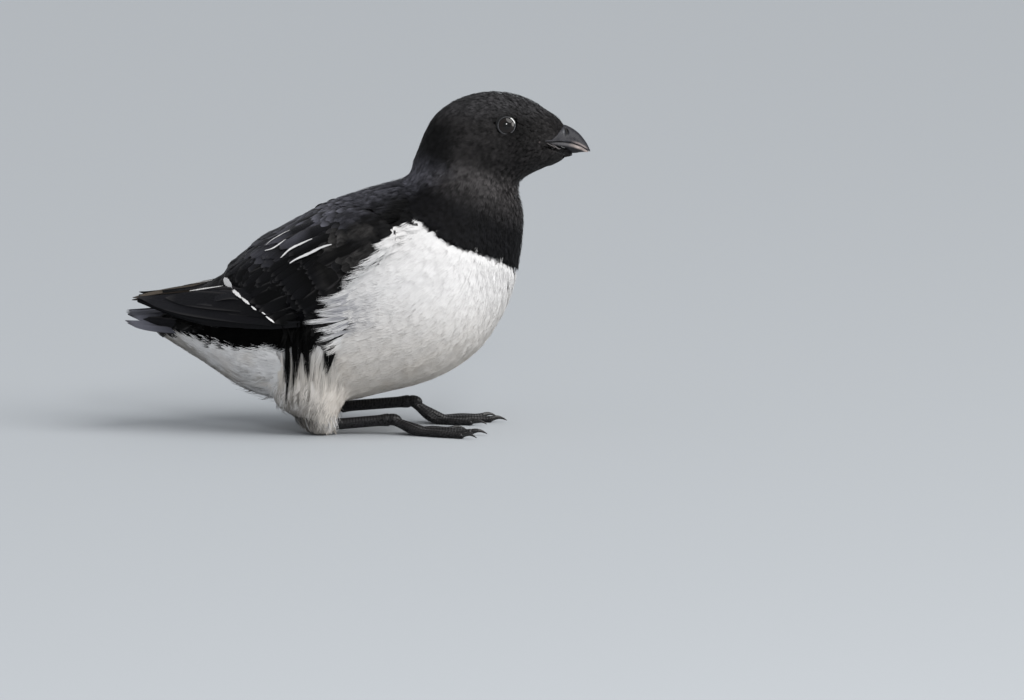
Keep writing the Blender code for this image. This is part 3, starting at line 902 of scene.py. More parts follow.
QUILL_MATERIAL = feather_material(
    "stiff quills", 0.6, 0.5, 0.3, 0.42, 0.0, edge=0.8, edge_colour=(0.036, 0.034, 0.035),
    barb_count=60.0, barb_depth=0.3, shaft=3.0, specular=0.11,
)
print("materials:", [m.name for m in bpy.data.materials])

# %% [markdown]
# ## Legs and feet
# A little auk sits back on its whole tarsus, with three webbed toes ahead. The legs are smooth
# tubes along the measured bones with a swelling at each joint, and a thin web hangs between the
# toes. They are part of the same skin mesh as the body, so leg and body share one surface.

# %% Leg measures, as in the solids
STANCE = 15.0
# Heel x and z, then ankle x and z, of each leg.
LEGS = {"right": (-11.0, 3.4, 12.4, 5.4), "left": (-7.0, 6.2, 19.4, 8.2)}
TOE_OUT = 6.0
# Angle, length, and half width at the root and at the tip, of each toe.
TOES = {"inner": (-21.0, 22.5, 1.7, 1.2), "middle": (0.0, 29.0, 1.9, 1.3), "outer": (20.0, 28.5, 1.8, 1.2)}
TARSUS_HALF = (1.7, 2.1)
WEB_REACH = 0.95
WEB_SAG = 0.84
WEB_THICK = 0.55
CLAW_LENGTH = 5.0
BONE_STEPS = 40
print("legs:", list(LEGS), "toes:", list(TOES))

# %% Smooth lines and tubes


def smooth_line(rows, steps):
    """A smooth curve through the rows, with some steps to each span."""
    rows = np.asarray(rows, float)
    padded = np.vstack((2 * rows[0] - rows[1], rows, 2 * rows[-1] - rows[-2]))
    made = []
    for i in range(len(rows) - 1):
        a, b, c, d = padded[i:i + 4]
        for t in np.arange(steps) / steps:
            spot = 2 * b + (c - a) * t + (2 * a - 5 * b + 4 * c - d) * t**2
            made.append(0.5 * (spot + (3 * b - a - 3 * c + d) * t**3))
    made.append(rows[-1])
    return np.array(made)


def tube(path, wide, high, corners=16):
    """Closed tube as points, triangles and (u in cm along it, v from -1 to 1 round it)."""
    ahead = unit(np.gradient(path, axis=0))
    across = unit(np.cross((0, 0, 1), ahead))
    up = np.cross(ahead, across)
    turn = 2 * math.pi * np.arange(corners) / corners
    rings = (
        path[:, None] + across[:, None] * (np.cos(turn)[None, :] * wide[:, None])[..., None]
        + up[:, None] * (np.sin(turn)[None, :] * high[:, None])[..., None]
    )
    count = len(path)
    points = np.vstack((rings.reshape(-1, 3), path[:1], path[-1:]))
    k = np.arange(corners)
    n = (k + 1) % corners
    triangles = []
    for ring in range(count - 1):
        a, b = ring * corners, (ring + 1) * corners
        triangles.append(np.column_stack((a + k, a + n, b + n)))
        triangles.append(np.column_stack((a + k, b + n, b + k)))
    first, last = count * corners, count * corners + 1
    triangles.append(np.column_stack((n, k, np.full(corners, first))))
    end = (count - 1) * corners
    triangles.append(np.column_stack((end + k, end + n, np.full(corners, last))))
    length = np.concatenate([[0], np.cumsum(np.linalg.norm(np.diff(path, axis=0), axis=1))]) / 10
    uv = np.column_stack((np.repeat(length, corners), np.tile(np.sin(turn), count)))
    uv = np.vstack((uv, (0, 0), (length[-1], 0)))
    return points, np.concatenate(triangles), uv

# %% Toes and legs


def toe_line(leg, side, toe):
    """A toe's path from the ankle down onto the floor, with its half width at each point."""
    angle, length, root_size, tip_size = TOES[toe]
    turn = math.radians(TOE_OUT + angle)
    ahead = np.array((math.cos(turn), side * math.sin(turn)))
    rows = []
    for share in (0.0, 0.06, 0.12, 0.21, 0.30, 0.41, 0.52, 0.64, 0.76, 0.88, 0.96, 1.0):
        half = root_size + (tip_size - root_size) * share
        drop = max(0.0, 1.0 - share / 0.44) ** 1.5
        rise = half * 0.86 + (LEGS[leg][3] - half * 0.86) * drop
        spot = np.array((LEGS[leg][2], side * STANCE)) + ahead * length * share
        rows.append((spot[0], spot[1], rise, half))
    rows = smooth_line(rows, 5)
    share = np.linspace(0, 1, len(rows))
    knuckles = 1 + 0.11 * np.cos(share * 6 * math.pi) - 0.45 * ease(share, 0.93, 1.0)
    return rows[:, :3], rows[:, 3] * knuckles


def leg_forms(leg, side):
    """Tarsus, three toes and the web of one leg."""
    heel_x, heel_z, ankle_x, ankle_z = LEGS[leg]
    share = np.linspace(0, 1, BONE_STEPS)
    bone = np.column_stack((
        heel_x + (ankle_x - heel_x) * share,
        np.full(BONE_STEPS, side * STANCE),
        heel_z + (ankle_z - heel_z) * share,
    ))
    fat = 0.96 + 0.14 * np.exp(-(((share - 0.92) / 0.07) ** 2)) + 0.25 * np.exp(-((share / 0.09) ** 2))
    fat = fat * (1 - 0.4 * ease(share, 0.96, 1)) * (0.5 + 0.5 * ease(share, 0, 0.04))
    forms = [tube(bone, TARSUS_HALF[0] * fat, TARSUS_HALF[1] * fat)]
    knob = np.linspace(-1, 1, 15)
    joint = bone[-1] + np.outer(knob * 3.2 + 0.4, (1, 0, -0.12))
    forms.append(tube(joint, 2.0 * np.sqrt(1.02 - knob**2), 2.15 * np.sqrt(1.02 - knob**2)))
    for toe in TOES:
        line, half = toe_line(leg, side, toe)
        forms.append(tube(line, half, half * 0.95))
    forms.append(web_form(leg, side))
    return forms

# %% The web between the toes


def web_form(leg, side):
    """The web: two curved panels between the toes, thin, wrinkled and scalloped in front."""
    rows, columns = 18, 33
    reach = np.linspace(0.08, 1, rows)[:, None]
    spread = np.array([(TOES[toe][0], TOES[toe][1] * WEB_REACH) for toe in ("inner", "middle", "outer")])
    span = np.linspace(0, 2, columns)
    angle = np.radians(TOE_OUT + np.interp(span, (0, 1, 2), spread[:, 0]))[None, :]
    limit = np.interp(span, (0, 1, 2), spread[:, 1])
    between = np.sin(math.pi * (span % 1))
    limit = (limit * (1 - (1 - WEB_SAG) * between * 0.8))[None, :]
    ankle_z = LEGS[leg][3]
    drop = np.maximum(0.0, 1.0 - reach / 0.50) ** 1.5
    high = 1.1 + (ankle_z - 1.0) * drop - 0.35 * between[None, :] * ease(reach, 0.1, 0.5)
    high = high + 0.10 * np.sin(reach * 30 + 2 * np.sin(span * 5)[None, :]) * between[None, :]
    x = LEGS[leg][2] + np.cos(angle) * limit * reach
    y = side * (STANCE + np.sin(angle) * limit * reach)
    upper = np.stack((x, y, high + 0 * x), -1).reshape(-1, 3)
    lower = upper.copy()
    lower[:, 2] = np.maximum(lower[:, 2] - WEB_THICK, FLOOR_GAP)
    grid = np.arange(rows * columns).reshape(rows, columns)
    top = sheet(grid)
    count = rows * columns
    rim = np.concatenate((grid[0, :-1], grid[:-1, -1], grid[-1, :0:-1], grid[:0:-1, 0]))
    after = np.roll(rim, -1)
    wall = ((rim, rim + count, after), (after, rim + count, after + count))
    wall = np.vstack([np.column_stack(corners) for corners in wall])
    flip = slice(None, None, 1 if side > 0 else -1)
    triangles = np.vstack((top, top[:, ::-1] + count, wall[:, ::-1]))[:, flip]
    uv = np.column_stack((np.repeat(reach[:, 0] * 2.2, columns), np.tile(span - 1, rows)))
    return np.vstack((upper, lower)), triangles, np.vstack((uv, uv))


leg_parts = [form for leg, side in SIDES.items() for form in leg_forms(leg, side)]
print("leg forms:", len(leg_parts), "triangles:", sum(len(form[1]) for form in leg_parts))

# %% [markdown]
# ## One skin mesh
# The melted body and the leg tubes become one mesh. It is unrolled round the body's own axis, with
# the legs in strips above, and it is coloured by the same marking function as the feathers.

# %% Skin finish
LEG_BLACK = (0.0040, 0.0038, 0.0041)
SCUTES, asked, scutes_out = new_group(
    "leg scutes", [("Count", 9.5), ("Grain", 1.0)], ["Height", "Wear", "Roughness"]
)
along, across = lie_parts(SCUTES)
plate = maths(SCUTES, "FRACT", times(SCUTES, along, asked["Count"]))
groove = remap(SCUTES, maths(SCUTES, "ABSOLUTE", maths(SCUTES, "SUBTRACT", plate, 0.5)), 0.36, 0.5, 1.0, 0.0)
place = node(SCUTES, "TexCoord").outputs["Object"]
cells = node(SCUTES, "TexVoronoi", {"feature": "DISTANCE_TO_EDGE"}, Vector=place, Scale=1500.0).outputs[0]
upper_side = remap(SCUTES, across, 0.1, 0.5)
both = node(
    SCUTES, "Mix", {"data_type": "FLOAT"}, _0=upper_side, _2=remap(SCUTES, cells, 0.0, 0.12), _3=groove
).outputs[0]
wire(
    # The scutes' relief also drives painted glints on their colour.
    SCUTES, scutes_out, Height=both, Wear=times(SCUTES, both, asked["Grain"]),
    Roughness=remap(SCUTES, both, start=0.62, end=0.40),
)
print("group:", SCUTES.name, len(SCUTES.nodes), "nodes")

SKIN_MATERIAL, tree, shader = new_material("skin and scutes")
leather = stored(tree, "leather", "Fac")
plates = node(tree, "Group", {"node_tree": SCUTES}).outputs
blotch = plus(tree, grain(tree, 600.0, 4.0), 0.5)
# Painted highlight: raised scutes are made up to 3.4 times lighter, standing in for glints off them; the
# blotches vary this at random.
wear_and_glint = times(tree, remap(tree, plates["Wear"], start=0.4, end=3.4), blotch)
raised = times(tree, plates["Height"], leather)
worn_gloss = maths(tree, "POWER", plates["Wear"], 3.0)
wire(
    tree, shader,
    Base_Color=blend(tree, leather, stored(tree, "coat"), coat_tone(tree, wear_and_glint)),
    Normal=node(tree, "Bump", None, Strength=1.0, Distance=0.00025, Height=raised).outputs[0],
    Roughness=plates["Roughness"],
    Specular_IOR_Level=0.07,
    Coat_Weight=times(tree, worn_gloss, times(tree, leather, 0.6)),
    Coat_Roughness=0.32,
)

# %% Build the skin
all_points = [skin_points]
all_triangles = [fan_triangles(skin_faces)]
lie_uv = [np.zeros((len(skin_points), 2))]
BODY_SHARE = 0.76  # part of the unrolled map that the body takes, below the legs' strips
strip_uv = [unroll(skin_points) * (1, BODY_SHARE)]
strip_low = 0.79
STRIP_STEP = 0.0165
for points, triangles, uv in leg_parts:
    points = points.copy()
    points[:, 2] = np.maximum(points[:, 2], 0.02)
    base = sum(len(part) for part in all_points)
    all_points.append(points)
    all_triangles.append(triangles + base)
    lie_uv.append(uv)
    strip_v = strip_low + 0.006 + (uv[:, 1] + 1) * 0.0055
    strip_uv.append(np.column_stack((0.03 + uv[:, 0] * 0.3, strip_v)))
    strip_low += STRIP_STEP
all_points = np.concatenate(all_points)
all_triangles = np.concatenate(all_triangles)
lie_uv = np.concatenate(lie_uv)
strip_uv = np.concatenate(strip_uv)

skin_data = triangle_mesh("skin", all_points, all_triangles)
corner_uv = strip_uv[all_triangles]
span = corner_uv[:, :, 1].max(1) - corner_uv[:, :, 1].min(1)
wraps = (span > 0.35)[:, None] & (corner_uv[:, :, 1] < 0.35)
corner_uv[:, :, 1] = np.where(wraps, corner_uv[:, :, 1] + 0.94 * BODY_SHARE, corner_uv[:, :, 1])
add_map(skin_data, "OFBake", corner_uv.reshape(-1, 2))
add_map(skin_data, "Lie", lie_uv[all_triangles.ravel()])
leather_mask = np.concatenate((np.zeros(len(skin_points)), np.ones(len(all_points) - len(skin_points))))
skin_colour = coat_colour(all_points) * 0.8
skin_colour[leather_mask > 0.5] = LEG_BLACK
add_colour(skin_data, "coat", skin_colour)
add_number(skin_data, "leather", leather_mask)
skin = finished("skin", skin_data, SKIN_MATERIAL)
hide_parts(*FLESH, *(f"{part}_{leg}" for part in ("tarsus", "foot") for leg in SIDES))
print("skin:", len(all_triangles), "triangles")

# %% [markdown]
# ## Body plumage
# The soft contour feathers are grown in groups. Each group has its own spacing, length and
# pattern: short velvet on the head, longer loose fans on the breast, rounded vanes on the back.

# %% What the groups share
EYE_CENTRE = (53.05, 10.1, 110.5)
EYE_AXIS = np.array((0.10, 0.985, 0.12)) / np.linalg.norm((0.10, 0.985, 0.12))
EYE_RADIUS = 4.9


def eye_distance(points):
    """Distance from the line through the middle of the nearer eye."""
    folded = points * (1, 0, 1) + np.abs(points) * (0, 1, 0)
    arm = folded - EYE_CENTRE
    off = arm - (arm @ EYE_AXIS)[:, None] * EYE_AXIS
    return np.where(folded[:, 1] > 4, np.linalg.norm(off, axis=1), 99.0)


def white_field(points):
    """Millimetres inside the white field, below zero outside it."""
    return inside_field(side_view(points), WHITE_FIELD)


def hood_part(points):
    """Above zero on the head and neck, below on the mantle and breast."""
    return 0.95 * (points[:, 0] - 18.5) + 0.25 * (points[:, 2] - 92)


def fit(keep, *rows):
    """Keeps the same feathers in several arrays."""
    return [row[keep] for row in rows]


FAN_SMALL = [strand_fan(3, 2, 0.95, 0.2, seed) for seed in range(6)]
FAN_SOFT = [strand_fan(11, 3, 1.15, 0.42, seed, arch=0.11) for seed in range(20, 30)]
print("fans:", len(FAN_SMALL), "small and", len(FAN_SOFT), "soft")

# %% Velvet of the head and neck
# The bare horn of the bill as corners on the side view; small feathers reach up to its edge.
BARE = np.array([
    (74.4, 114), (74.1, 109.3), (72.9, 106.3), (70.4, 104.9), (66.9, 103.6), (67.6, 102.5), (70.4, 101.3),
    (73.5, 100.4), (77, 99.4), (77.6, 96), (92, 96), (92, 114),
])
FACE_GROUND = make_ground(*stacked([
    (skin_points, skin_faces, skin_normals), shrunken("bill_upper", 0.0), shrunken("bill_lower", 0.3)
]))


def bare_part(points):
    """Millimetres inside the bare horn, below zero outside it."""
    return inside_field(side_view(points), BARE)


def above_skin(points):
    """Whether points lie on or over the skin."""
    places, normals = settle(points, SKIN_GROUND)
    return ((points - places) * normals).sum(1) > -0.05


def hood_keep(points):
    """Where the hood's tufts grow."""
    clear = (white_field(points) < 0.6) & (hood_part(points) > 0) & (eye_distance(points) > 3.5)
    return clear & (bare_part(points) < 0)


hood_roots = scatter(0.82, hood_keep, 11)
for name, inset, seed in (("bill_upper", 0.0, 14), ("bill_lower", 0.3, 15)):
    base = make_ground(*shrunken(name, inset))
    more = scatter(0.75, lambda p: (bare_part(p) < -0.1) & (p[:, 0] > 68) & hood_keep(p), seed, base)
    hood_roots = np.vstack((hood_roots, more[above_skin(more)]))
hood_length = 2.0 + 1.7 * ease(-hood_roots[:, 0] - 0.4 * (hood_roots[:, 2] - 100), -66, -30)
path, facing = walk(hood_roots, hood_length, 2, 0.18, 12, ground=FACE_GROUND)
clear = (eye_distance(path[:, 2]) > 3.35) & (white_field(path[:, 2]) < 1.2) & (bare_part(path[:, 2]) < 0.2)
path, facing, hood_length = fit(clear, path, facing, hood_length)
x, z = path[:, 1, 0], path[:, 1, 2]
brow = 0.95 * mound(x, z, (71.6, 110.6), 6) + 0.3 * mound(x, z, (68, 112.5), 8)
chin = 0.2 * ease(x, 50, 58) * ease(-x, -73, -69) * ease(-z, -102, -98) * ease(z, 88, 94)
hood_depth = np.maximum(coat_depth(path[:, 0]) * 0.95, 0.20 - 0.14 * ease(path[:, 0, 0], 70, 73))
hood_depth -= 0.7 * mound(x, z, (21, 101), 45)
tall = (brow + chin > 0.12) | ((x > 70) & (z < 102.5))
under = lay_feathers(
    path[tall], facing[tall], 0.28 * hood_length[tall], (hood_depth + brow * 0.45)[tall], FAN_SMALL, 19, 0.9
)
hood = lay_feathers(
    path, facing, 0.27 * hood_length, hood_depth + brow + chin, FAN_SMALL, 13, root_height=0.6
)
hood_colours = coat_colour(path[:, 1])
hood_white = white_field(path[:, 1])[:, None] > 0.4
hood_colours = np.where(hood_white, PURE_WHITE, hood_colours)
both_colours = np.concatenate((hood_colours[hood["owner"]], hood_colours[tall][under["owner"]]))
feather_piece("hood_tufts", joined([hood, under]), both_colours, HOOD_MATERIAL)

# %% White breast, belly and vent


def plume_zone(points):
    """Where the thigh's long hanging plumes take the place of flat feathers."""
    x, height = points[:, 0], seen_height(points)
    loose = 2.2 * ripple(points, 4, 10)
    return (x > -28 + loose) & (x < -6 + loose) & (height > 16) & (height < 38) & (np.abs(points[:, 1]) > 9)


white_roots = scatter(1.75, lambda p: (white_field(p) > -0.2) & (p[:, 2] > 1.5), 21)
low = ease(-white_roots[:, 2], -26, -8)
front = ease(white_roots[:, 0] + 0.6 * white_roots[:, 2], 70, 88)
thigh = ease(-white_roots[:, 2], -20, -12) * ease(-white_roots[:, 0], 0, 6)
white_length = 8.5 + 2.5 * low - 3.0 * front - 2.5 * thigh
path, facing = walk(white_roots, white_length, 3, 0.12, 22)
clear = (white_field(path[:, 2]) > -0.4) & (white_field(path[:, 3]) > -1.4) & (path[:, 3, 2] > 0.3)
clear &= ~plume_zone(path[:, 1])
clear &= (white_field(path[:, 3]) > -0.2) | (path[:, 3, 0] > 21) | (seen_height(path[:, 3]) < 66)
path, facing, white_length = fit(clear, path, facing, white_length)
white_depth = coat_depth(path[:, 0]) * 0.9
white_colours = coat_colour(path[:, 1])
white_colours = np.where(whiteness(path[:, 1])[:, None] < 0.6, PURE_WHITE, white_colours)
for side_name, side in SIDES.items():
    mine = path[:, 0, 1] * side > 0
    part = lay_feathers(
        path[mine], facing[mine], 0.25 * white_length[mine], white_depth[mine], FAN_SOFT, 23,
        root_height=0.55, tilt=0.02, vary=0.05
    )
    feather_piece(f"breast_{side_name}", part, white_colours[mine][part["owner"]], WHITE_MATERIAL,
                  softness=0.9)

# %% Rounded black vanes


def vane_leaf(rows, columns, seed, arch=0.35, split=0.0):
    """Points (u, v, w) and triangles of one firm, rounded feather with an uneven tip."""
    draw = np.random.default_rng(seed)
    bite = draw.uniform(-1, 0.4, columns + 1) * split
    broadest = 0.6
    points = []
    for row in range(rows + 1):
        u = row / rows
        wide = math.sqrt(max(1 - ((u - broadest) / 0.42) ** 2, 0.02))
        if u < broadest:
            wide = 0.55 + 0.45 * math.sin(u / broadest * math.pi / 2)
        for column in range(columns + 1):
            v = column / columns * 2 - 1
            reach = u * (1 - 0.05 * v * v) + bite[column] * max(u - broadest, 0)
            points.append((reach, v * wide, -arch * v * v * wide))
    grid = np.arange((rows + 1) * (columns + 1)).reshape(rows + 1, columns + 1)
    return np.array(points), sheet(grid)


LEAVES = [vane_leaf(6, 6, seed, arch=0.5, split=0.10) for seed in range(60, 68)]
SLEEK = [strand_fan(7, 3, 1.15, 0.12, seed, arch=0.35) for seed in range(50, 58)]
print("vanes:", len(LEAVES), "firm and", len(SLEEK), "sleek")

# %% Black down, wing scales and mantle


def band_part(points):
    """The loose black feathers under the wing and beside the tail."""
    height = seen_height(points)
    return (points[:, 0] < -14) & (height < 43 + 0.12 * (points[:, 0] + 30)) & (np.abs(points[:, 1]) > 3)


band_roots = scatter(1.5, lambda p: (white_field(p) < 0.2) & band_part(p) & (p[:, 0] > -62), 27)
band_length = np.full(len(band_roots), 7.5)
path, facing = walk(band_roots, band_length, 3, 0.22, 28)
band = lay_feathers(path, facing, 0.22 * band_length, coat_depth(path[:, 0]) * 0.9, FAN_SOFT, 29)
colours = black_colour(path[:, 0])[band["owner"]]
feather_piece("under_wing", band, colours, DEEP_MATERIAL, softness=0.3)


def firm_part(points):
    """Where the mantle's loose feathers give way to the wing's firm ones."""
    return ease(-points[:, 0] - 0.35 * (points[:, 2] - 74), -6, 4) + 0.3 * ripple(points, 6, 8) > 0.5


def back_part(points):
    """Where the mantle and the wing scales grow."""
    on_back = (white_field(points) < 0.4) & (hood_part(points) + 1.5 * ripple(points, 5, 9) < 0.8)
    return on_back & ~band_part(points) & (points[:, 0] > -66)


for label, firm, spacing, size, patterns, finish in (
    ("wing_scales", True, 2.1, 1.0, LEAVES, BACK_MATERIAL),
    ("mantle", False, 1.2, 0.50, SLEEK, MANTLE_MATERIAL),
):
    roots = scatter(spacing, lambda p: back_part(p) & (firm_part(p) == firm), 31)
    upper = ease(seen_height(roots) - 0.5 * roots[:, 0], 62, 74)
    back_length = 5.0 + 1.2 * ease(-roots[:, 0], -22, -6) + 6.0 * upper * ease(-roots[:, 0], 4, 20)
    back_length *= 1.0 if firm else 0.95
    path, facing = walk(roots, back_length, 4, 0.10, 32, WING_ARROWS)
    clear = (white_field(path[:, 4]) < 0.8) | (path[:, 0, 0] > 4)
    path, facing, back_length = fit(clear, path, facing, back_length)
    back_depth = coat_depth(path[:, 0]) * 0.85
    back_wide = size * (1.0 + 0.22 * back_length)
    back = lay_feathers(path, facing, back_wide, back_depth, patterns, 33, tilt=0.10 if firm else 0.05)
    feather_piece(label, back, black_colour(path[:, 1])[back["owner"]], finish,
                  softness=0.0 if firm else 0.6)

# %% [markdown]
# ## Feathers drawn one by one
# The long feathers of wing and tail each have their place, so they are drawn on the side view, from
# root to tip, and projected onto the bird from either side. The same drawing serves both wings.

# %% Grounds for the wing and tail quills
CORES = {name: shrunken(name, 0.45) for name in ("primaries_left", "primaries_right", "tail")}
for name, (points, faces, normals) in CORES.items():
    drop = 1.7 * ease(points[:, 0], -76, -54) * ease(points[:, 2], 48, 52)
    CORES[name] = (points - drop[:, None] * (0, 0, 1), faces, normals)
WING_GROUND = make_ground(*stacked(
    [(skin_points, skin_faces, skin_normals), CORES["primaries_left"], CORES["primaries_right"]]
))
print("wing ground:", len(WING_GROUND["points"]), "points")

# %% Draw on the side view


def project(spots, side, ground):
    """Casts side-view spots (x, height) onto a ground from the bird's own side."""
    up, ahead = UP * (1, -side, 1), AHEAD * (1, -side, 1)
    places, normals = [], []
    for x, height in np.asarray(spots).reshape(-1, 2):
        origin = np.array((x, 0, 0)) + up * height - ahead * 120
        hit = ground["tree"].ray_cast(Vector(origin), Vector(ahead))
        if hit[0] is None:
            hit = ground["tree"].find_nearest(Vector(origin + ahead * 100))
        places.append(hit[0])
        normals.append(ground["normals"][ground["quads"][hit[2]]].mean(0))
    shape = np.asarray(spots).shape[:-1] + (3,)
    return np.array(places).reshape(shape), unit(np.array(normals)).reshape(shape)


def drawn_ends(drawings):
    """Starts and ends of the drawings, with room for the steps between."""
    return (np.array([row[k] for row in drawings], float)[:, None] for k in (0, 1))


def drawn_paths(drawings, side, ground, heights, steps=6, root=0.45):
    """Each drawing is (root, tip, sag). Smooth paths over the ground, placed so that a feather
    raised by its height shows where it was drawn."""
    up = UP * (1, -side, 1)
    rise = np.linspace(root, 1, steps + 1)[None, :, None] * np.asarray(heights)[:, None, None]
    share = np.linspace(0, 1, steps + 1)[None, :, None]
    start, tip = drawn_ends(drawings)
    sag = np.array([row[2] for row in drawings], float)[:, None, None]
    across = (tip - start)[..., ::-1] * (-1, 1)
    across = across / np.linalg.norm(across, axis=-1, keepdims=True)
    spots = start + (tip - start) * share + across * sag * 4 * share * (1 - share)
    aim = spots
    for _ in range(4):
        path, facing = project(aim, side, ground)
        shown = path + facing * rise
        miss = np.stack((shown[..., 0], shown @ up), -1) - spots
        aim = aim - 0.7 * np.clip(miss, -2.0, 2.0)
    for _ in range(2):
        path[:, 1:-1] = (path[:, :-2] + 2 * path[:, 1:-1] + path[:, 2:]) / 4
        facing[:, 1:-1] = unit(facing[:, :-2] + 2 * facing[:, 1:-1] + facing[:, 2:])
    return path, facing


def drawn_feathers(drawings, side, widths, heights, patterns, seed, ground=None, steps=6, tilt=0.03,
                   vary=0.15, root=0.45):
    """Feathers along drawings, on the wing unless another ground is given."""
    path, facing = drawn_paths(drawings, side, ground or WING_GROUND, heights, steps, root)
    widths, heights = np.asarray(widths, float), np.asarray(heights, float)
    return lay_feathers(path, facing, widths, heights, patterns, seed, root, tilt, vary)


def drawn_rows(rows, side, patterns, seed, **more):
    """Feathers from rows of (root, tip, sag, half width, height)."""
    widths, heights = ([row[k] for row in rows] for k in (3, 4))
    return drawn_feathers([row[:3] for row in rows], side, widths, heights, patterns, seed, **more)


def flat_patches(rows, side, patterns, seed, steps=4):
    """Patches (start, end, half width, lift) flat outside the wing and straight on the side view."""
    share = np.linspace(0, 1, steps + 1)[None, :, None]
    start, tip = drawn_ends(rows)
    widths, lifts = (np.array([row[k] for row in rows], float) for k in (2, 3))
    spots = start + (tip - start) * share
    out = np.zeros(spots.shape[:2])
    for shift in ((0, 0), (1.2, 0.8)):
        places, _ = project(spots + shift, side, WING_GROUND)
        out = np.maximum(out, np.abs(places[..., 1]))
    line = out[:, :1] + (out[:, -1:] - out[:, :1]) * share[..., 0]
    line = line + np.maximum(out - line, 0).max(1, keepdims=True) + lifts[:, None]
    z = (spots[..., 1] + line * math.sin(ELEVATION)) / math.cos(ELEVATION)
    path = np.stack((spots[..., 0], side * line, z), -1)
    facing = unit(np.broadcast_to((0, 0.95 * side, 0.31), path.shape).copy())
    return lay_feathers(path, facing, widths, np.zeros(len(path)), patterns, seed, 1.0, 0, 0)


def between(first, last, count):
    """Evenly spaced spots from first to last."""
    share = np.linspace(0, 1, count)[:, None]
    return np.array(first, float) * (1 - share) + np.array(last, float) * share

# %% Primaries
QUILLS = [vane_leaf(10, 8, seed, arch=0.16, split=0.02) for seed in range(70, 74)]
PRIMARY_TIPS = [
    (-79.4, 46.2), (-77, 46.5), (-73, 46.8), (-68.6, 47), (-64, 47.3), (-59.4, 47.5), (-55, 47.4),
]
PRIMARY_ROOTS = between((-30, 38.6), (-32, 48.0), 7)
INNER_BROWN = (0.088, 0.073, 0.059)


def flight_core(side_name):
    """The folded blade under the primaries, seen as the brownish inner side of its top feather."""
    points, faces, normals = CORES[f"primaries_{side_name}"]
    return {
        "points": points, "triangles": fan_triangles(faces), "uv": np.zeros((len(points), 2)),
        "owner": np.zeros(len(points), int), "root": points[:1], "facing": normals,
    }


def inner_blade(side_name, side):
    """The brown inner web of the topmost long quill, along the inside of the folded wing."""
    core = CORES[f"primaries_{side_name}"][0]
    x = np.linspace(-45.0, -81.2, 9)
    upper = core[core[:, 2] > 45]
    inside = [np.abs(upper[np.abs(upper[:, 0] - k) < 2.5, 1]).min() for k in np.maximum(x, -76)]
    y = np.poly1d(np.polyfit(x, inside, 1))(x) - 0.4
    height = np.interp(-x, (45, 49.2, 65, 76, 81.2), (53.2, 52.6, 49.9, 48.0, 47.2))
    z = (height - y * math.sin(ELEVATION)) / math.cos(ELEVATION)
    path = np.stack((x, side * y, z), -1)[None]
    facing = unit(np.tile((0, -0.9 * side, 0.44), (1, 9, 1)))
    return lay_feathers(path, facing, np.array([1.5]), np.array([0.0]), QUILLS, 93, 1.0, 0.0, 0.0)


for side_name, side in SIDES.items():
    drawings = [(root, tip, -0.8) for root, tip in zip(PRIMARY_ROOTS, PRIMARY_TIPS)]
    vanes = drawn_feathers(drawings, side, np.full(7, 3.4), 1.1 + 0.12 * np.arange(7), QUILLS, 75)
    blade = joined([flight_core(side_name), vanes, inner_blade(side_name, side)])
    inner = blade["owner"] == blade["owner"].max()
    colours = np.where(inner[:, None], INNER_BROWN, np.multiply(WING_BLACK, 2.2))
    piece = feather_piece(f"primary_quills_{side_name}", blade, colours, QUILL_MATERIAL,
                          patch=0.03)
    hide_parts(f"primaries_{side_name}")

# %% Secondaries with white tips, and the greater coverts over them
SECONDARY_TIPS = between((-48.2, 53.6), (-29.3, 38.4), 12)
SECONDARY_ROOTS = between((-24.0, 66.0), (-12.0, 44.0), 12)
COVERT_TIPS = between((-33.5, 58.0), (-19.0, 41.5), 11)
COVERT_ROOTS = between((-18.0, 68.0), (-7.0, 50.5), 11)
MEDIAN_TIPS = between((-21.0, 61.0), (-12.5, 46.5), 9)
MEDIAN_ROOTS = between((-12.0, 67.0), (-3.0, 53.5), 9)


# Rows of (tips, roots, sag, half widths, heights, patterns, seed), from the long vanes up.
VANE_ROWS = [
    (SECONDARY_TIPS, SECONDARY_ROOTS, 1, (3.4, 2.4), (2, 1.6), QUILLS, 81),
    (COVERT_TIPS, COVERT_ROOTS, 0.6, (2.6, 2.6), (2.2, 2.2), LEAVES, 82),
    (MEDIAN_TIPS, MEDIAN_ROOTS, 0.6, (2.4, 2.4), (2.4, 2.4), LEAVES, 83),
]
for side_name, side in SIDES.items():
    layers = []
    for tips, roots, sag, wide, high, patterns, seed in VANE_ROWS:
        drawings = [(root, tip, sag) for root, tip in zip(roots, tips)]
        widths, heights = (np.linspace(*ends, len(drawings)) for ends in (wide, high))
        layers.append(drawn_feathers(drawings, side, widths, heights, patterns, seed))
    vanes = joined(layers)
    feather_piece(f"wing_vanes_{side_name}", vanes, black_colour(vanes["points"]), BACK_MATERIAL,
                  patch=0.012)

# %% Scapulars and their white edges
SCAPULARS = [
    ((-12, 78.5), (-30.5, 68.5), -0.5, 3), ((-14, 75), (-33, 65.5), -0.4, 3),
    ((-6, 74), (-27.5, 64.5), -0.6, 3.1), ((0, 71.5), (-24.5, 61.8), -0.8, 3.1),
    ((4, 67), (-18, 57), -0.8, 3), ((-20, 71), (-38, 61), 0, 3), ((-24, 67.5), (-42.5, 57), 0, 3),
    ((-24, 63.5), (-41, 51), 0.2, 3), ((-18, 64), (-36, 52.5), 0.2, 3),
    ((-20, 59.5), (-35, 46.5), 0.2, 2.8), ((-28, 70.5), (-44, 59), 0.3, 2.8),
    ((-30, 66), (-46.8, 54.8), 0.3, 2.8),
]
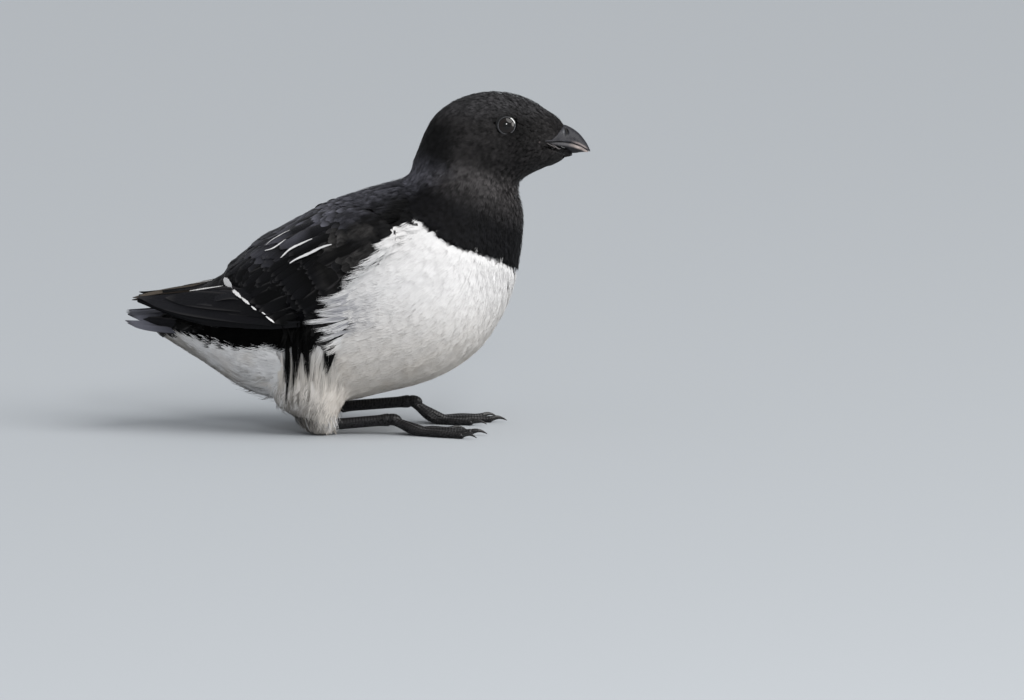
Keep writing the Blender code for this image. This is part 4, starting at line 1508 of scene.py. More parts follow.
# White tips as (start, end, half width, lift).
WHITE_TIPS = [
    ((-45.2, 50.7), (-41, 46.9), 0.9, 2.9), ((-41, 47.1), (-38, 44.6), 0.7, 2.6),
    ((-37.4, 44), (-35.6, 42.6), 0.35, 2.5), ((-33.6, 41.9), (-32.3, 41), 0.25, 2.5),
    ((-32.1, 40.4), (-29.1, 38.1), 0.34, 2.5), ((-48, 51.4), (-60, 49.6), 0.22, 2.1),
]
# White edges, and the broad first tip, as (root, tip, sag, half width, height).
WHITE_EDGES = [
    ((-23.9, 71.1), (-32.4, 66), -0.5, 0.27, 3.1), ((-25.4, 68), (-32.8, 63.8), 0.6, 0.34, 2.7),
    ((-15.7, 67.8), (-27, 61.3), -0.9, 0.50, 2.9), ((-8.6, 65.9), (-23.6, 59.2), -0.6, 0.54, 3.1),
]
FIRST_TIP = [((-47.7, 53.8), (-44.5, 50.2), 0.2, 1.5, 3.1)]
SHOULDER_TIPS = between((7.0, 80.0), (2.0, 73.6), 9)
SHOULDER_ROOTS = between((20.0, 82.0), (15.0, 75.2), 9)


def strip(seed, wave=0.7):
    """One narrow, slightly wavy white edge of a vane."""
    draw = np.random.default_rng(seed)
    u = np.linspace(0, 1, 13)
    wide = np.sin(np.pi * np.clip(u, 0.04, 0.97)) ** 0.5 * (0.75 + 0.35 * draw.random(13))
    middle = 0.5 * np.sin(u * 9 + seed) * wave
    across = np.repeat(middle, 2) + np.column_stack((-wide, wide)).ravel()
    k = np.arange(0, 24, 2)
    triangles = np.vstack((np.column_stack((k, k + 1, k + 3)), np.column_stack((k, k + 3, k + 2))))
    return np.column_stack((np.repeat(u, 2), across, np.zeros(26))), triangles


STRIPS = [strip(seed) for seed in range(90, 94)]
PATCHES = [strip(seed, 0.1) for seed in range(94, 98)]
FLAT = {"tilt": 0, "vary": 0.0, "root": 1.0}
print("scapulars:", len(SCAPULARS), "white edges:", len(WHITE_EDGES), "white tips:", len(WHITE_TIPS) + 1)

# %% Lay the scapulars and the white edges
for side_name, side in SIDES.items():
    drawings = [row[:3] for row in SCAPULARS]
    heights = np.linspace(2.7, 1.9, len(SCAPULARS))
    part = drawn_feathers(drawings, side, [row[3] for row in SCAPULARS], heights, LEAVES, 84, vary=0.1)
    drawings = [(root, tip, 0.4) for root, tip in zip(SHOULDER_ROOTS, SHOULDER_TIPS)]
    cover = drawn_feathers(drawings, side, np.full(9, 1.3), np.full(9, 2.3), SLEEK, 88, vary=0.1)
    part = joined([part, cover])
    feather_piece(f"scapulars_{side_name}", part, black_colour(part["points"]), BACK_MATERIAL,
                  patch=0.012)
    edges = drawn_rows(WHITE_EDGES, side, STRIPS, 85, steps=10, **FLAT)
    tips = flat_patches(WHITE_TIPS, side, PATCHES, 87)
    chip = drawn_rows(FIRST_TIP, side, PATCHES, 89, steps=4, **FLAT)
    feather_piece(f"white_edges_{side_name}", joined([edges, tips, chip]), PURE_WHITE, WHITE_MATERIAL,
                  patch=0.02)

# %% Tail
TAIL_GREY = (0.095, 0.097, 0.118)
TAIL_ROWS = np.array([(-62, 43.8), (-72, 42.3), (-78, 41.2), (-81.6, 40.5), (-83.4, 40.1)])
rank = np.arange(-5.5, 6)[:, None]
place = np.abs(rank[:, 0]) - 0.5
share = np.linspace(0, 1, 9)[None, :]
tip_x = np.interp(place, range(6), (-83.3, -83.1, -82.6, -81.0, -83.2, -82.4))[:, None]
tail_x = -56.0 + (tip_x + 56.0) * share
tail_y = rank * (1.25 + 0.80 * share)
root_drop = np.interp(place, range(6), (0, 0.4, 1.6, 4.0, 7.0, 8.5))[:, None]
tip_drop = np.interp(place, range(6), (0, 0.2, 0.6, 1.4, 2.0, 2.6))[:, None]
tail_z = np.interp(-tail_x, -TAIL_ROWS[:, 0], TAIL_ROWS[:, 1]) + 2.0 * share**2
tail_z = tail_z - root_drop * (1 - share) ** 0.8 - tip_drop * share
tail_path = np.stack((tail_x, tail_y, tail_z), -1)
lean = np.radians(np.interp(place, range(6), (4, 14, 28, 44, 58, 66)))[:, None] + 0 * share
tail_facing = np.stack((0 * tail_x, np.sign(rank) * np.sin(lean), np.cos(lean)), -1)
tail_wide = np.interp(place, range(6), (2.4, 2.3, 2.1, 1.9, 1.5, 1.3))
tail_high = 0.9 - 0.10 * place
TAIL_PATTERN = [vane_leaf(14, 8, seed, arch=0.12) for seed in range(76, 80)]
tail_vanes = lay_feathers(tail_path, tail_facing, tail_wide, tail_high, TAIL_PATTERN, 86, 1.0, 0.02)
under_path = tail_path[2:10] * (1, 0.9, 1) + (3.0, 0, -0.9)
under_vanes = lay_feathers(
    under_path, tail_facing[2:10], np.full(8, 1.9), tail_high[2:10] * 0.3, TAIL_PATTERN, 88, 1.0, 0.02
)
# Coverts that close the rump's end round the tail's root, on both sides.
angle = np.radians([side * a for side in (-1, 1) for a in (38, 48, 58, 68, 78, 88, 43, 56, 70, 84)])[:, None]
first = np.tile(np.repeat((-64.0, -59.0), (6, 4)), 2)[:, None]
sheath_x = first - 14.0 * share
taper = (sheath_x + 58) / -20
sheath_y = (10.2 - 3.2 * taper) * np.sin(angle)
sheath_z = 39.4 + 0.9 * taper - (5.0 - 3.6 * taper) * np.cos(angle)
sheath_path = np.stack((sheath_x, sheath_y, sheath_z), -1)
sheath_facing = (-0.2 + 0 * sheath_x, np.sin(angle) + 0 * share, -np.cos(angle) + 0 * share)
sheath_facing = unit(np.stack(sheath_facing, -1))
sheath = lay_feathers(sheath_path, sheath_facing, np.full(20, 1.7), np.full(20, 0.5), LEAVES, 89, 0.5, 0.03)
tail_group = joined([tail_vanes, under_vanes, sheath])
is_vane = tail_group["owner"] < len(tail_path) + len(under_path)
colours = np.where(is_vane[:, None], TAIL_GREY, np.multiply(WING_BLACK, 2.0))
tail_piece = feather_piece("tail_quills", tail_group, colours, QUILL_MATERIAL, patch=0.02)
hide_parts("tail")

# %% [markdown]
# ## Loose plumes
# Long white flank feathers fall over the wing's front edge, and black plumes hang over the thigh.
# Their barbs hold together poorly, so they are drawn as small sheaves of tapering strands.

# %% Plume patterns and where they hang


def plume(strands, rows, seed, close=0.6, ragged=0.3):
    """A sheaf whose tapering strands draw together towards the tip."""
    draw = np.random.default_rng(seed)
    points, triangles = [], []
    for k in range(strands):
        place = (k + 0.5) / strands * 2 - 1
        stop = 1 - ragged * draw.random() * (0.3 + abs(place))
        curl = draw.normal(0, 0.35)
        high = draw.uniform(-0.12, 0.12)
        first = len(points)
        for row in range(rows):
            share = row / rows
            u = stop * share
            gather = min(1, 0.15 + 2.4 * share)
            belly = 0.7 + 0.3 * math.sin(math.pi * share)
            middle = place * (1 - close * share) * belly * gather + curl * share**2
            thin = 0.85 / strands * (1 - 0.9 * share**1.5) * gather
            points += [(u, middle - thin, high), (u, middle + thin, high)]
        points.append((stop, place * (1 - close) * 0.7 + curl, high))
        triangles += strand_triangles(first, rows)
    return np.array(points), np.array(triangles)


SHEAVES = [plume(5, 5, seed, 0.35, 0.4) for seed in range(100, 110)]
PLUMES = [plume(4, 8, seed, 0.7, 0.3) for seed in range(110, 118)]
print("plumes:", len(SHEAVES), "sheaves and", len(PLUMES), "long ones")


def tuft(draw, root, tip, count, spread, sag=0.4, ragged=0.0):
    """A few plumes that share a root and part a little at the tip."""
    made = []
    for _ in range(count):
        begin = np.array(root) + draw.normal(0, spread, 2) + (0, draw.uniform(-ragged, 0.4 * ragged))
        end = np.array(tip) + draw.normal(0, spread * 0.8, 2)
        made.append((begin, end, sag + draw.normal(0, 0.25)))
    return made

# %% Where the tufts hang
# Tufts as (root, tip, plumes, spread), from the shoulder's lobe down the flank.
FLANK_TUFTS = [
    ((23.5, 72.2), (16, 70.8), 8, 0.35), ((20.5, 71.2), (12.2, 68.4), 10, 0.35),
    ((18.5, 70.9), (8.6, 66.9), 11, 0.4), ((17, 69.4), (5.4, 64.9), 11, 0.35),
    ((16, 68.4), (6.6, 63.9), 6, 0.3), ((19, 68.5), (12.8, 65.6), 8, 0.8),
    ((16, 66.5), (9.2, 62.4), 9, 0.8), ((12.5, 64.5), (4, 60.2), 9, 1), ((9.5, 62), (1, 57.8), 9, 1),
    ((7, 59.8), (-2, 55.8), 9, 1), ((5, 57.5), (-4.8, 53.6), 10, 0.9), ((3, 55), (-5.6, 51.2), 8, 0.9),
    ((1.5, 52.5), (-7.2, 49.2), 9, 0.9), ((0, 50), (-11, 47.4), 9, 0.6),
    ((-1.5, 48), (-14.4, 46.3), 10, 0.4), ((-1.5, 46.2), (-11.5, 44.4), 9, 0.5),
    ((-1, 44), (-15.6, 42), 10, 0.4), ((-2.5, 41.8), (-14.6, 40.6), 8, 0.4),
    ((-2, 40.6), (-19.3, 38.4), 7, 0.3), ((-2, 38.4), (-16, 35.2), 4, 0.5),
    ((-2.5, 37), (-12.6, 34.6), 3, 0.4), ((-3, 35.4), (-15, 31.6), 4, 0.6),
    ((-3.5, 33.2), (-13.2, 28.6), 4, 0.6), ((-4.5, 31), (-11.5, 27), 4, 0.5),
]
# Black plumes over the thigh: root, tip, plumes, spread.
BLACK_TUFTS = [
    ((-24.6, 36), (-26, 15), 5, 0.6), ((-24.6, 33), (-25.6, 5.6), 4, 0.45),
    ((-23, 35), (-22.9, 10.2), 4, 0.45), ((-22, 35), (-21.9, 15), 4, 0.5),
    ((-20.8, 35), (-20.8, 21), 4, 0.5), ((-19.5, 34.5), (-17.9, 15.6), 5, 0.5),
    ((-18, 34.5), (-18.2, 19.5), 5, 0.6), ((-16, 35.5), (-17.4, 25.5), 6, 0.8),
    ((-26, 36.5), (-27, 28), 7, 1), ((-7.2, 30.8), (-10.8, 21.5), 5, 0.4),
    ((-8.8, 30.4), (-11.2, 19.2), 6, 0.5), ((-11, 29.5), (-11.9, 20.5), 5, 0.5),
    ((-13, 36.5), (-15.5, 31), 7, 0.9), ((-22, 38), (-23, 29), 8, 1.6), ((-17, 38), (-18, 30), 8, 1.6),
]
# White plumes between and below them.
THIGH_TUFTS = [
    ((-27, 25), (-28, 9), 7, 1), ((-22.6, 29), (-23.8, 13), 5, 0.6), ((-21.3, 30), (-22.5, 14), 5, 0.5),
    ((-19.2, 30), (-20, 12), 6, 0.6), ((-15.5, 31.5), (-16, 13), 5, 1.1),
    ((-13.5, 31.5), (-14.6, 12), 6, 1.1), ((-12.2, 32), (-15.8, 20), 5, 0.8),
    ((-11.5, 26), (-12.8, 10), 9, 0.9), ((-8, 27), (-10.5, 12), 9, 0.9),
    ((-6.5, 33.5), (-12.6, 27.6), 5, 0.5), ((-8.2, 31), (-10.6, 26), 3, 0.3), ((-5, 30), (-9, 15), 9, 1),
    ((-4, 25), (-8, 11), 8, 1), ((-17.5, 22), (-18, 8), 9, 1.2), ((-21.5, 20), (-22, 7), 9, 1.2),
    ((-24.5, 17), (-24, 5), 9, 1.2),
]

print("tufts:", len(FLANK_TUFTS), len(BLACK_TUFTS), len(THIGH_TUFTS))

# %% Colours and laying of the plumes
draw = np.random.default_rng(120)


def all_plumes(rows, *shape):
    """The plumes of every tuft."""
    return [made for row in rows for made in tuft(draw, *row, *shape)]


def hang(rows, side, wide, high, patterns, seed, lower=0.0, **more):
    """Plumes whose half widths and heights are drawn between two limits each."""
    widths = draw.uniform(*wide, len(rows))
    heights = draw.uniform(*high, len(rows)) - lower
    return drawn_feathers(rows, side, widths, heights, patterns, seed, **more)


def white_plume_colours(white):
    """Painted warm bounce light below, painted shade behind the heel, and painted shade on some plumes, low
    down and at their roots.
    """
    points = white["points"]
    low, back = seen_height(points), -points[:, 0]
    colours = mixed(PURE_WHITE, WARM_BOUNCE_WHITE, ease(-low, -34, -20))
    # Painted shade behind the heel.
    rear_shade = ease(back, 12, 17) * ease(-low, -20, -9)
    colours = mixed(colours, HEEL_SHADE, 0.95 * rear_shade * ease(back + 3 * ripple(points, 4, 64), 10, 16))
    # Painted shade: random plumes are dimmed low down and greyed at their roots at mid height.
    plume_shade = np.random.default_rng(125).random(len(white["root"]))[white["owner"]] ** 2
    colours = colours * (1 - 0.35 * plume_shade * ease(-low, -32, -26))[:, None]
    plume_shade = plume_shade * ease(-low, -58, -46) * ease(low, 30, 36) * ease(-white["uv"][:, 0], -0.9, -0.3)
    return mixed(colours, FLANK_GREY_AND_SHADE, np.minimum(1.5 * plume_shade, 1))

# %% Hang the plumes on both sides
flank_rows = all_plumes(FLANK_TUFTS)
black_rows = all_plumes(BLACK_TUFTS, 0.8)
thigh_rows = all_plumes(THIGH_TUFTS, 0.6, 5.0)
LONG = {"steps": 8, "tilt": 0.1}
for side_name, side in SIDES.items():
    upper = ease(np.array([row[0][1] for row in flank_rows]), 44, 56)
    flank = hang(flank_rows, side, (0.7, 1.2), (2.2, 3.0), SHEAVES, 121, 0.7 * upper, tilt=0.06)
    thigh = hang(thigh_rows, side, (0.6, 1.1), (1.3, 2.0), PLUMES, 123, **LONG)
    white = joined([flank, thigh])
    feather_piece(f"white_plumes_{side_name}", white, white_plume_colours(white), WHITE_MATERIAL,
                  softness=0.7)
    black = hang(black_rows, side, (0.45, 0.8), (2.5, 3.2), PLUMES, 124, **LONG)
    # The black plumes take the vent's painted-shade black, raised 2.4 times.
    feather_piece(f"black_plumes_{side_name}", black, np.multiply(VENT_SHADE_BLACK, 2.4), DEEP_MATERIAL)

# %% Heel tufts that spread on the floor


def heel_paths(side, draw, count):
    """Strands that leave the thigh's end and splay where they meet the floor."""
    path = np.zeros((count, 6, 3))
    facing = np.zeros((count, 6, 3))
    share = np.linspace(0, 1, 6)
    middle_top, middle_foot = np.array((-15.0, side * 15.2)), np.array((-12.6, side * 15.2))
    for k in range(count):
        turn = draw.uniform(0, 2 * math.pi)
        out = np.array((math.cos(turn), math.sin(turn)))
        top = middle_top + out * (8.0, 5.6) * draw.uniform(0.72, 1.0)
        reach = draw.uniform(0.55, 1.0) + 0.75 * draw.random() ** 3
        foot = middle_foot + out * (5.6, 4.6) * reach + draw.normal(0, 0.5, 2)
        bend = share[:, None] ** draw.uniform(0.7, 1.9)
        path[k, :, :2] = top[None] * (1 - bend) + foot[None] * bend
        end = 0.1 + 2.6 * max(reach - 0.95, 0) * draw.uniform(0.5, 1.5) + draw.random() ** 4 * 2.0
        path[k, :, 2] = draw.uniform(5.5, 13.0) * (1 - share) + end
        facing[k] = unit(np.array((out[0], out[1], 0.15)))
    return path, facing


HEEL_STRANDS = 620
HEEL_SHEAVES = [plume(2, 6, seed, 0.2, 0.6) for seed in range(140, 148)]
for side_name, side in SIDES.items():
    draw = np.random.default_rng(130)
    count = HEEL_STRANDS
    path, facing = heel_paths(side, draw, count)
    wide, high = draw.uniform(0.25, 0.5, count), draw.uniform(0.0, 0.7, count)
    heel = lay_feathers(path, facing, wide, high, HEEL_SHEAVES, 131, 0.3, 0.1)
    # Painted light and shade: front strands are white, the rear ones take the heel's painted shade, and every
    # strand darkens towards its root.
    bright = ease(path[:, -1, 0], -12, -7.5) * 0.8 + 0.6 * draw.random(count) ** 3
    shade = mixed(np.multiply(HEEL_SHADE, 0.7), PURE_WHITE, bright)[heel["owner"]]
    shade = shade * (0.45 + 0.55 * ease(heel["uv"][:, 0], 0.1, 0.9))[:, None]
    feather_piece(f"heel_tufts_{side_name}", heel, shade, WHITE_MATERIAL, softness=0.2)

# %% Whiskery down behind the thigh and along the belly's keel


def vent_part(points):
    """Where the down behind the thigh grows."""
    x, z = points[:, 0], points[:, 2]
    return (x < -25.5) & (x > -40) & (z < 23) & (z > 5)


whisker_roots = scatter(2.4, vent_part, 135)
draw = np.random.default_rng(136)
whisker_length = draw.uniform(5.0, 8.5, len(whisker_roots))
path, facing = walk(whisker_roots, whisker_length, 4, 0.25, 137)
whiskers = lay_feathers(
    path, facing, draw.uniform(0.5, 0.9, len(path)), draw.uniform(1.8, 3.2, len(path)), PLUMES, 138, 0.2, 0.1
)
# The down here is greyed with the heel's painted shade.
feather_piece("vent_down", whiskers, mixed(PURE_WHITE, HEEL_SHADE, 0.4), WHITE_MATERIAL,
              softness=0.6)

# %% [markdown]
# ## Bill
# The bill is short, stout and horny. Each half is a smooth loft through the measured sections,
# fine enough to carry the nostril's pit, the cutting edge and the pale rims near the tip: wear on
# the upper half, and on the lower half wear with a painted highlight.

# %% Bill measures, as in the solids
BILL_UPPER = [
    (65.8, 105.6, 104.75, 10.8), (68.5, 106.2, 104.7, 9.3), (71, 108.4, 104.55, 7.3),
    (73.5, 110, 104.25, 5), (76.5, 109, 103.8, 3.5), (79.5, 106.8, 102.8, 2.5), (81.9, 103.8, 101.35, 1.5),
    (83.4, 100.9, 100.3, 0.4),
]
BILL_LOWER = [
    (65.8, 104.65, 103.8, 10.6), (68.5, 104.6, 102.8, 9.1), (71, 104.45, 101.5, 7.1),
    (74, 104.05, 100.4, 4.5), (77.4, 103.45, 99.75, 2.7), (80.2, 102.4, 100.1, 1.6),
    (82, 101.15, 100.1, 0.8), (82.8, 100.5, 100.15, 0.4),
]
NOSTRIL = (75.0, 107.9)
HORN_DARK = (0.010, 0.010, 0.012)
HORN_GREY = (0.0145, 0.0145, 0.020)
HORN_PALE = (0.30, 0.25, 0.24)
NOSTRIL_RIM = (0.12, 0.12, 0.13)
CUTTING_EDGE = (0.11, 0.105, 0.11)
WORN_EDGE_AND_GLINT = (0.60, 0.50, 0.46)


def bill_half(stations, roof):
    """Points, triangles and map (u along, v round) of one half of the bill."""
    rows = smooth_line(stations, 11)
    corners = 60
    turn = np.pi * np.arange(corners) / (corners - 1)
    x, top, low, wide = (rows[:, k][:, None] for k in range(4))
    seam, crest = (low, top) if roof else (top, low)
    side = np.cos(turn)[None, :]
    bow = np.sin(turn)[None, :] ** 0.92
    y = wide * side * (1 - 0.10 * bow)
    z = seam + (crest - seam) * bow
    outer = np.stack((x + 0 * y, y, z), -1)
    points = outer.reshape(-1, 3)
    count = len(rows)
    grid = np.arange(count * corners).reshape(count, corners)
    a, b, c, d = grid[:-1, :-1].ravel(), grid[:-1, 1:].ravel(), grid[1:, 1:].ravel(), grid[1:, :-1].ravel()
    flat_a, flat_b = grid[:-1, 0], grid[1:, 0]
    flat_c, flat_d = grid[1:, -1], grid[:-1, -1]
    triangles = np.vstack([np.column_stack(t) for t in (
        (a, c, b), (a, d, c), (flat_a, flat_d, flat_c), (flat_a, flat_c, flat_b),
    )])
    tip = np.column_stack((np.full(corners - 2, grid[-1, 0]), grid[-1, 1:-1], grid[-1, 2:]))
    triangles = np.vstack((triangles, tip[:, ::-1]))
    if not roof:
        triangles = triangles[:, ::-1]
    uv = np.column_stack((np.repeat(np.linspace(0, 1, count), corners), np.tile(turn / np.pi * 2 - 1, count)))
    return points, triangles, uv


def carve_upper(points):
    """The nostril's pit with its raised rim, and a soft groove over the cutting edge."""
    x, z = points[:, 0], points[:, 2]
    along, high = x - NOSTRIL[0], z - NOSTRIL[1]
    turned = along * 0.95 + high * 0.31 + 0.18 * high**2, high * 0.95 - along * 0.31
    away = np.sqrt((turned[0] / 0.60) ** 2 + (turned[1] / 1.45) ** 2)
    pit = np.exp(-(away**2) * 1.2)
    rim = np.exp(-(((along + 1.15) / 0.55) ** 2 + ((high + 0.1) / 0.85) ** 2))
    edge = np.interp(x, [row[0] for row in BILL_UPPER], [row[2] for row in BILL_UPPER])
    lip = np.exp(-(((z - edge - 0.55) / 0.32) ** 2)) * ease(x, 67, 72)
    out = -0.95 * pit + 0.45 * rim + 0.14 * lip
    carved = points.copy()
    carved[:, 1] += np.sign(points[:, 1]) * out * ease(np.abs(points[:, 1]), 0.1, 0.6)
    return carved, pit, rim, lip


def bill_colours_upper(points, pit, rim, lip):
    """Dark ridge, greyer sides, a pale edge near the tip from wear, and the nostril's pit darkened as painted
    shade.
    """
    x, y, z = points.T
    ridge = ease(np.abs(y), 1.2, 0.2) * ease(x, 72, 75)
    grey = ease(x, 66, 73) * 0.75 * (1 - ridge)
    colours = mixed(HORN_DARK, HORN_GREY, grey)
    wear_and_glint = lip * ease(x, 76, 79.5) * (1 - ease(x, 81.5, 83)) * 0.8
    colours = mixed(colours, HORN_PALE, wear_and_glint)
    colours = mixed(colours, NOSTRIL_RIM, 0.8 * rim)
    # Painted shade: the nostril's pit is darkened almost to black.
    return colours * (1 - 0.95 * ease(pit, 0.15, 0.55))[:, None]


def bill_colours_lower(points):
    """Dark horn with a cutting edge that pales towards the tip, partly from wear and partly as painted
    highlight.
    """
    x, z = points[:, 0], points[:, 2]
    edge = np.interp(x, [row[0] for row in BILL_LOWER], [row[1] for row in BILL_LOWER])
    drop = edge - z
    upper_band = ease(-drop, -1.7, -0.7) * ease(drop, 0.12, 0.3)
    grey = mixed(HORN_DARK, CUTTING_EDGE, upper_band)
    # Pale band along the cutting edge near the tip: wear on the horn, with a painted highlight along it.
    pale = upper_band * ease(x, 75, 79.5)
    return mixed(grey, WORN_EDGE_AND_GLINT, pale)

# %% Horn finish
HORN, asked, horn_out = new_group(
    "horn growth", [("Lines", 22.0), ("Wear", 0.5), ("Low Gloss", 0.42), ("High Gloss", 0.26)],
    ["Height", "Shade", "Roughness"],
)
soft = grain(HORN, 500.0, 4.0)
run = plus(HORN, times(HORN, lie_parts(HORN)[0], asked["Lines"]), soft)
line_wave = times(HORN, maths(HORN, "SINE", times(HORN, run, FULL_WAVE)), 0.25)
fine = times(HORN, grain(HORN, 2600.0, 2.0), 0.5)
wear = times(HORN, maths(HORN, "SUBTRACT", soft, 0.5), asked["Wear"])
wire(
    HORN, horn_out, Height=plus(HORN, line_wave, fine), Shade=plus(HORN, wear, 1.0),
    Roughness=remap(HORN, soft, 0.3, 0.7, asked["High Gloss"], asked["Low Gloss"]),
)


def horn_material(name, lines, wear, low_gloss, high_gloss, depth, specular=0.5):
    """Horn or bare skin with faint growth lines."""
    material, tree, shader = new_material(name)
    growth = node(
        tree, "Group", {"node_tree": HORN}, Lines=lines, Wear=wear, Low_Gloss=low_gloss, High_Gloss=high_gloss
    ).outputs
    wire(
        tree, shader, Base_Color=coat_tone(tree, growth["Shade"]), Roughness=growth["Roughness"],
        Normal=node(tree, "Bump", None, Strength=depth, Distance=0.0001, Height=growth["Height"]).outputs[0],
        Specular_IOR_Level=specular,
    )
    return material


BILL_MATERIAL = horn_material("bill horn", 16.0, 0.7, 0.50, 0.34, 0.35, specular=0.30)
CLAW_MATERIAL = horn_material("claw horn", 10.0, 0.5, 0.38, 0.22, 0.2)


def plain_piece(name, points, triangles, uv, colours, material, slot, *nodes):
    """A smooth piece of horn, lid or eye that stands for solids."""
    mesh = triangle_mesh(name, points, triangles)
    add_map(mesh, "OFBake", (unroll(points) * 0.5)[triangles.ravel()])
    add_map(mesh, "Lie", uv[triangles.ravel()])
    add_colour(mesh, "coat", colours)
    piece = finished(name, mesh, material)
    if nodes:
        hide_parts(*nodes)
    print(f"{name}: {len(triangles)} triangles")

# %% Both halves of the bill
points, triangles, uv = bill_half(BILL_UPPER, True)
points, pit, rim, lip = carve_upper(points)
colours = bill_colours_upper(points, pit, rim, lip)
plain_piece("bill_top", points, triangles, uv, colours, BILL_MATERIAL, "bill", "bill_upper")
points, triangles, uv = bill_half(BILL_LOWER, False)
colours = bill_colours_lower(points)
plain_piece("bill_bottom", points, triangles, uv, colours, BILL_MATERIAL, "bill", "bill_lower")

# %% Pale strands under the gape and the spot at its corner
# Strands as (root, tip, sag, half width, height).
GAPE_ROWS = [
    ((67.9, 102.4), (70.9, 100.8), -0.2, 0.20, 0.5), ((69.6, 102.2), (72.8, 100.4), -0.2, 0.20, 0.5),
    ((71.6, 102), (74.4, 100.7), -0.2, 0.16, 0.5), ((65.6, 102.7), (64.9, 102.5), 0, 0.28, 0.7),
    ((73.6, 103.1), (66.4, 102.7), 0.1, 0.15, 0.55), ((72, 104), (67.2, 102.9), 0.2, 0.22, 0.45),
    ((76.4, 99.5), (71.2, 100), 0, 0.45, 0.5), ((75.6, 98.8), (71, 98.8), 0, 0.45, 0.5),
]
GAPE_COLOURS = np.array([
    (0.13, 0.12, 0.12), (0.11, 0.10, 0.10), (0.09, 0.09, 0.09), (0.12, 0.10, 0.10),
    (0.002, 0.002, 0.002), (0.035, 0.035, 0.040), (0.012, 0.0115, 0.012), (0.012, 0.0115, 0.012),
])
for side_name, side in SIDES.items():
    part = drawn_rows(GAPE_ROWS, side, STRIPS, 92, ground=FACE_GROUND, steps=4, **FLAT)
    feather_piece(f"gape_strands_{side_name}", part, GAPE_COLOURS[part["owner"]], HOOD_MATERIAL,
                  patch=0.02)

# %% [markdown]
# ## Eyes and lids
# The eye is a dark glossy ball set in a thin bare ring of lid. Breeding little auks have a small
# white crescent on the upper lid. The ring is a swept band round the eye's own line of sight.

# %% Eyeballs
EYE_MATERIAL, tree, shader = new_material("wet eye")
fibres = remap(tree, grain(tree, 3000.0, 3.0), start=0.6, end=1.4)
wire(tree, shader, Base_Color=coat_tone(tree, fibres), Roughness=0.06, IOR=1.42)
LATITUDES, LONGITUDES = 41, 64
PUPIL = (0.0015, 0.0015, 0.0015)
IRIS = (0.007, 0.0045, 0.0035)


def eye_frame(side):
    """Middle of the eye and three axes: out along its gaze, forward, and up."""
    out = EYE_AXIS * (1, side, 1)
    forward = unit(np.cross(np.cross(out, (1, 0, 0)), out))
    up = np.cross(out, forward) if np.cross(out, forward)[2] > 0 else np.cross(forward, out)
    return np.array(EYE_CENTRE) * (1, side, 1), out, forward, up


for side_name, side in SIDES.items():
    centre, out, forward, up = eye_frame(side)
    lat = np.linspace(0, np.pi, LATITUDES)
    lon = 2 * np.pi * np.arange(LONGITUDES) / LONGITUDES
    ring = np.sin(lat)[:, None]
    shape = (
        np.cos(lat)[:, None, None] * out + (ring * np.cos(lon)[None])[..., None] * forward
        + (ring * np.sin(lon)[None])[..., None] * up
    )
    points = (centre + shape * EYE_RADIUS).reshape(-1, 3)
    grid = np.arange(len(points)).reshape(LATITUDES, LONGITUDES)
    triangles = sheet(np.column_stack((grid, grid[:, :1])))
    if np.dot(np.cross(forward, up), out) < 0:
        triangles = triangles[:, ::-1]
    radius = np.repeat(np.sin(lat) * EYE_RADIUS, LONGITUDES)
    iris_share = ease(radius, 1.35, 1.6) * (1 - ease(radius, 2.6, 3.0))
    colours = mixed(PUPIL, IRIS, iris_share)
    uv = np.column_stack((np.repeat(lat, LONGITUDES), np.tile(lon, LATITUDES)))
    plain_piece(f"eyeball_{side_name}", points, triangles, uv, colours, EYE_MATERIAL, "eye",
                f"eye_{side_name}")

# %% Lids
LID_DARK = (0.008, 0.008, 0.009)
LID_RIM = (0.075, 0.075, 0.08)
CRESCENT = (0.82, 0.82, 0.80)
# The ring's section as (radius, height over the eye's middle).
LID_PROFILE = [
    (4.9, 0.6), (4.2, 1.8), (3.7, 2.9), (3.4, 3.5), (3.2, 3.9), (3.05, 4.08), (2.9, 4.12), (2.78, 3.98)
]


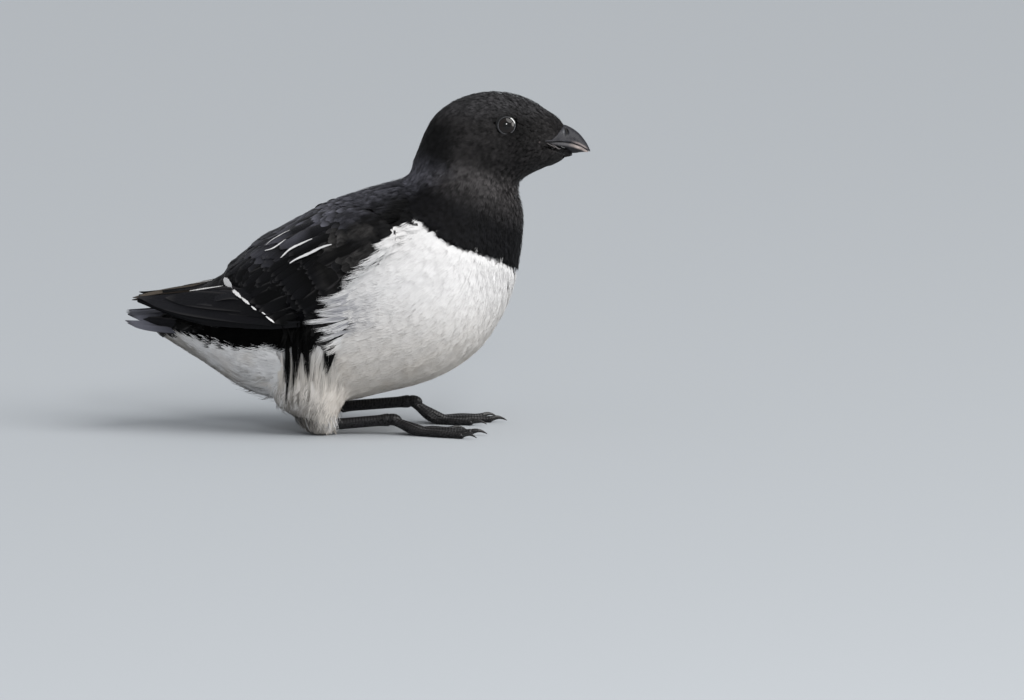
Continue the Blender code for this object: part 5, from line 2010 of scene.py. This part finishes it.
def lid_form(side):
    """Points, triangles, map and colours of one ring, with the crescent on its upper part."""
    centre, out, forward, up = eye_frame(side)
    count = 96
    angle = 2 * np.pi * np.arange(count) / count
    profile = smooth_line(LID_PROFILE, 4)
    rows = len(profile)
    crease = 0.04 * np.sin(angle * 23) + 0.12 * np.exp(-(((angle - 1.2) / 0.5) ** 2))
    radius = profile[:, 0][None, :] + 0 * crease[:, None]
    rise = profile[:, 1][None, :] + crease[:, None] * ease(profile[:, 0], 5, 3.6)[None, :]
    points = (
        centre + (radius * np.cos(angle)[:, None])[..., None] * forward
        + (radius * np.sin(angle)[:, None])[..., None] * up + rise[..., None] * out
    ).reshape(-1, 3)
    grid = np.arange(count * rows).reshape(count, rows)
    triangles = sheet(np.vstack((grid, grid[:1])))
    if np.dot(np.cross(forward, up), out) < 0:
        triangles = triangles[:, ::-1]
    turn = np.repeat(np.degrees(angle), rows)
    reach = np.tile(profile[:, 0], count)
    rim = ease(-reach, -3.28, -3.16) * ease(reach, 2.88, 2.96)
    rim = rim * (1 - 0.75 * ease(np.sin(np.radians(turn)), 0.0, 0.5))
    colours = mixed(LID_DARK, LID_RIM, rim)
    spot = ease(turn, 12, 19) * (1 - ease(turn, 58, 64))
    spot = spot * ease(-reach, -3.30, -3.20) * ease(reach, 2.84, 2.92)
    colours = mixed(colours, CRESCENT, spot)
    uv = np.column_stack((turn / 360, np.tile(np.linspace(-1, 1, rows), count)))
    return points, triangles, uv, colours


LID_MATERIAL = horn_material("bare lid", 40.0, 0.5, 0.55, 0.40, 0.5)
for side_name, side in SIDES.items():
    points, triangles, uv, colours = lid_form(side)
    plain_piece(f"lid_{side_name}", points, triangles, uv, colours, LID_MATERIAL, "eye")

# %% [markdown]
# ## Claws
# Three curved black claws end each foot. Each is a smooth, tapering hook, oval in section.

# %% Claws
CLAW_ROOT = (0.007, 0.007, 0.007)
CLAW_TIP = (0.016, 0.014, 0.013)
for leg, side in SIDES.items():
    for toe, (angle, length, root_size, tip_size) in TOES.items():
        turn = math.radians(TOE_OUT + angle)
        ahead = np.array((math.cos(turn), side * math.sin(turn), 0.0))
        share = np.linspace(0, 1, 17)
        start = np.array((LEGS[leg][2], side * STANCE, 0.0)) + ahead * (length - 0.6)
        high = 1.25 + 0.75 * np.sin(np.pi * share * 0.9) - 0.8 * share**2
        line = start + ahead * ((CLAW_LENGTH + 0.9) * share)[:, None] + high[:, None] * (0, 0, 1)
        size = tip_size * (0.80 - 0.70 * share**1.2)
        points, triangles, uv = tube(line, size * 0.75, size, 14)
        points[:, 2] = np.maximum(points[:, 2], 0.03)
        colours = mixed(CLAW_ROOT, CLAW_TIP, uv[:, 0] / uv[:, 0].max())
        plain_piece(f"claw_{toe}_{leg}_horn", points, triangles, uv, colours, CLAW_MATERIAL, "claw",
                    f"claw_{toe}_{leg}")
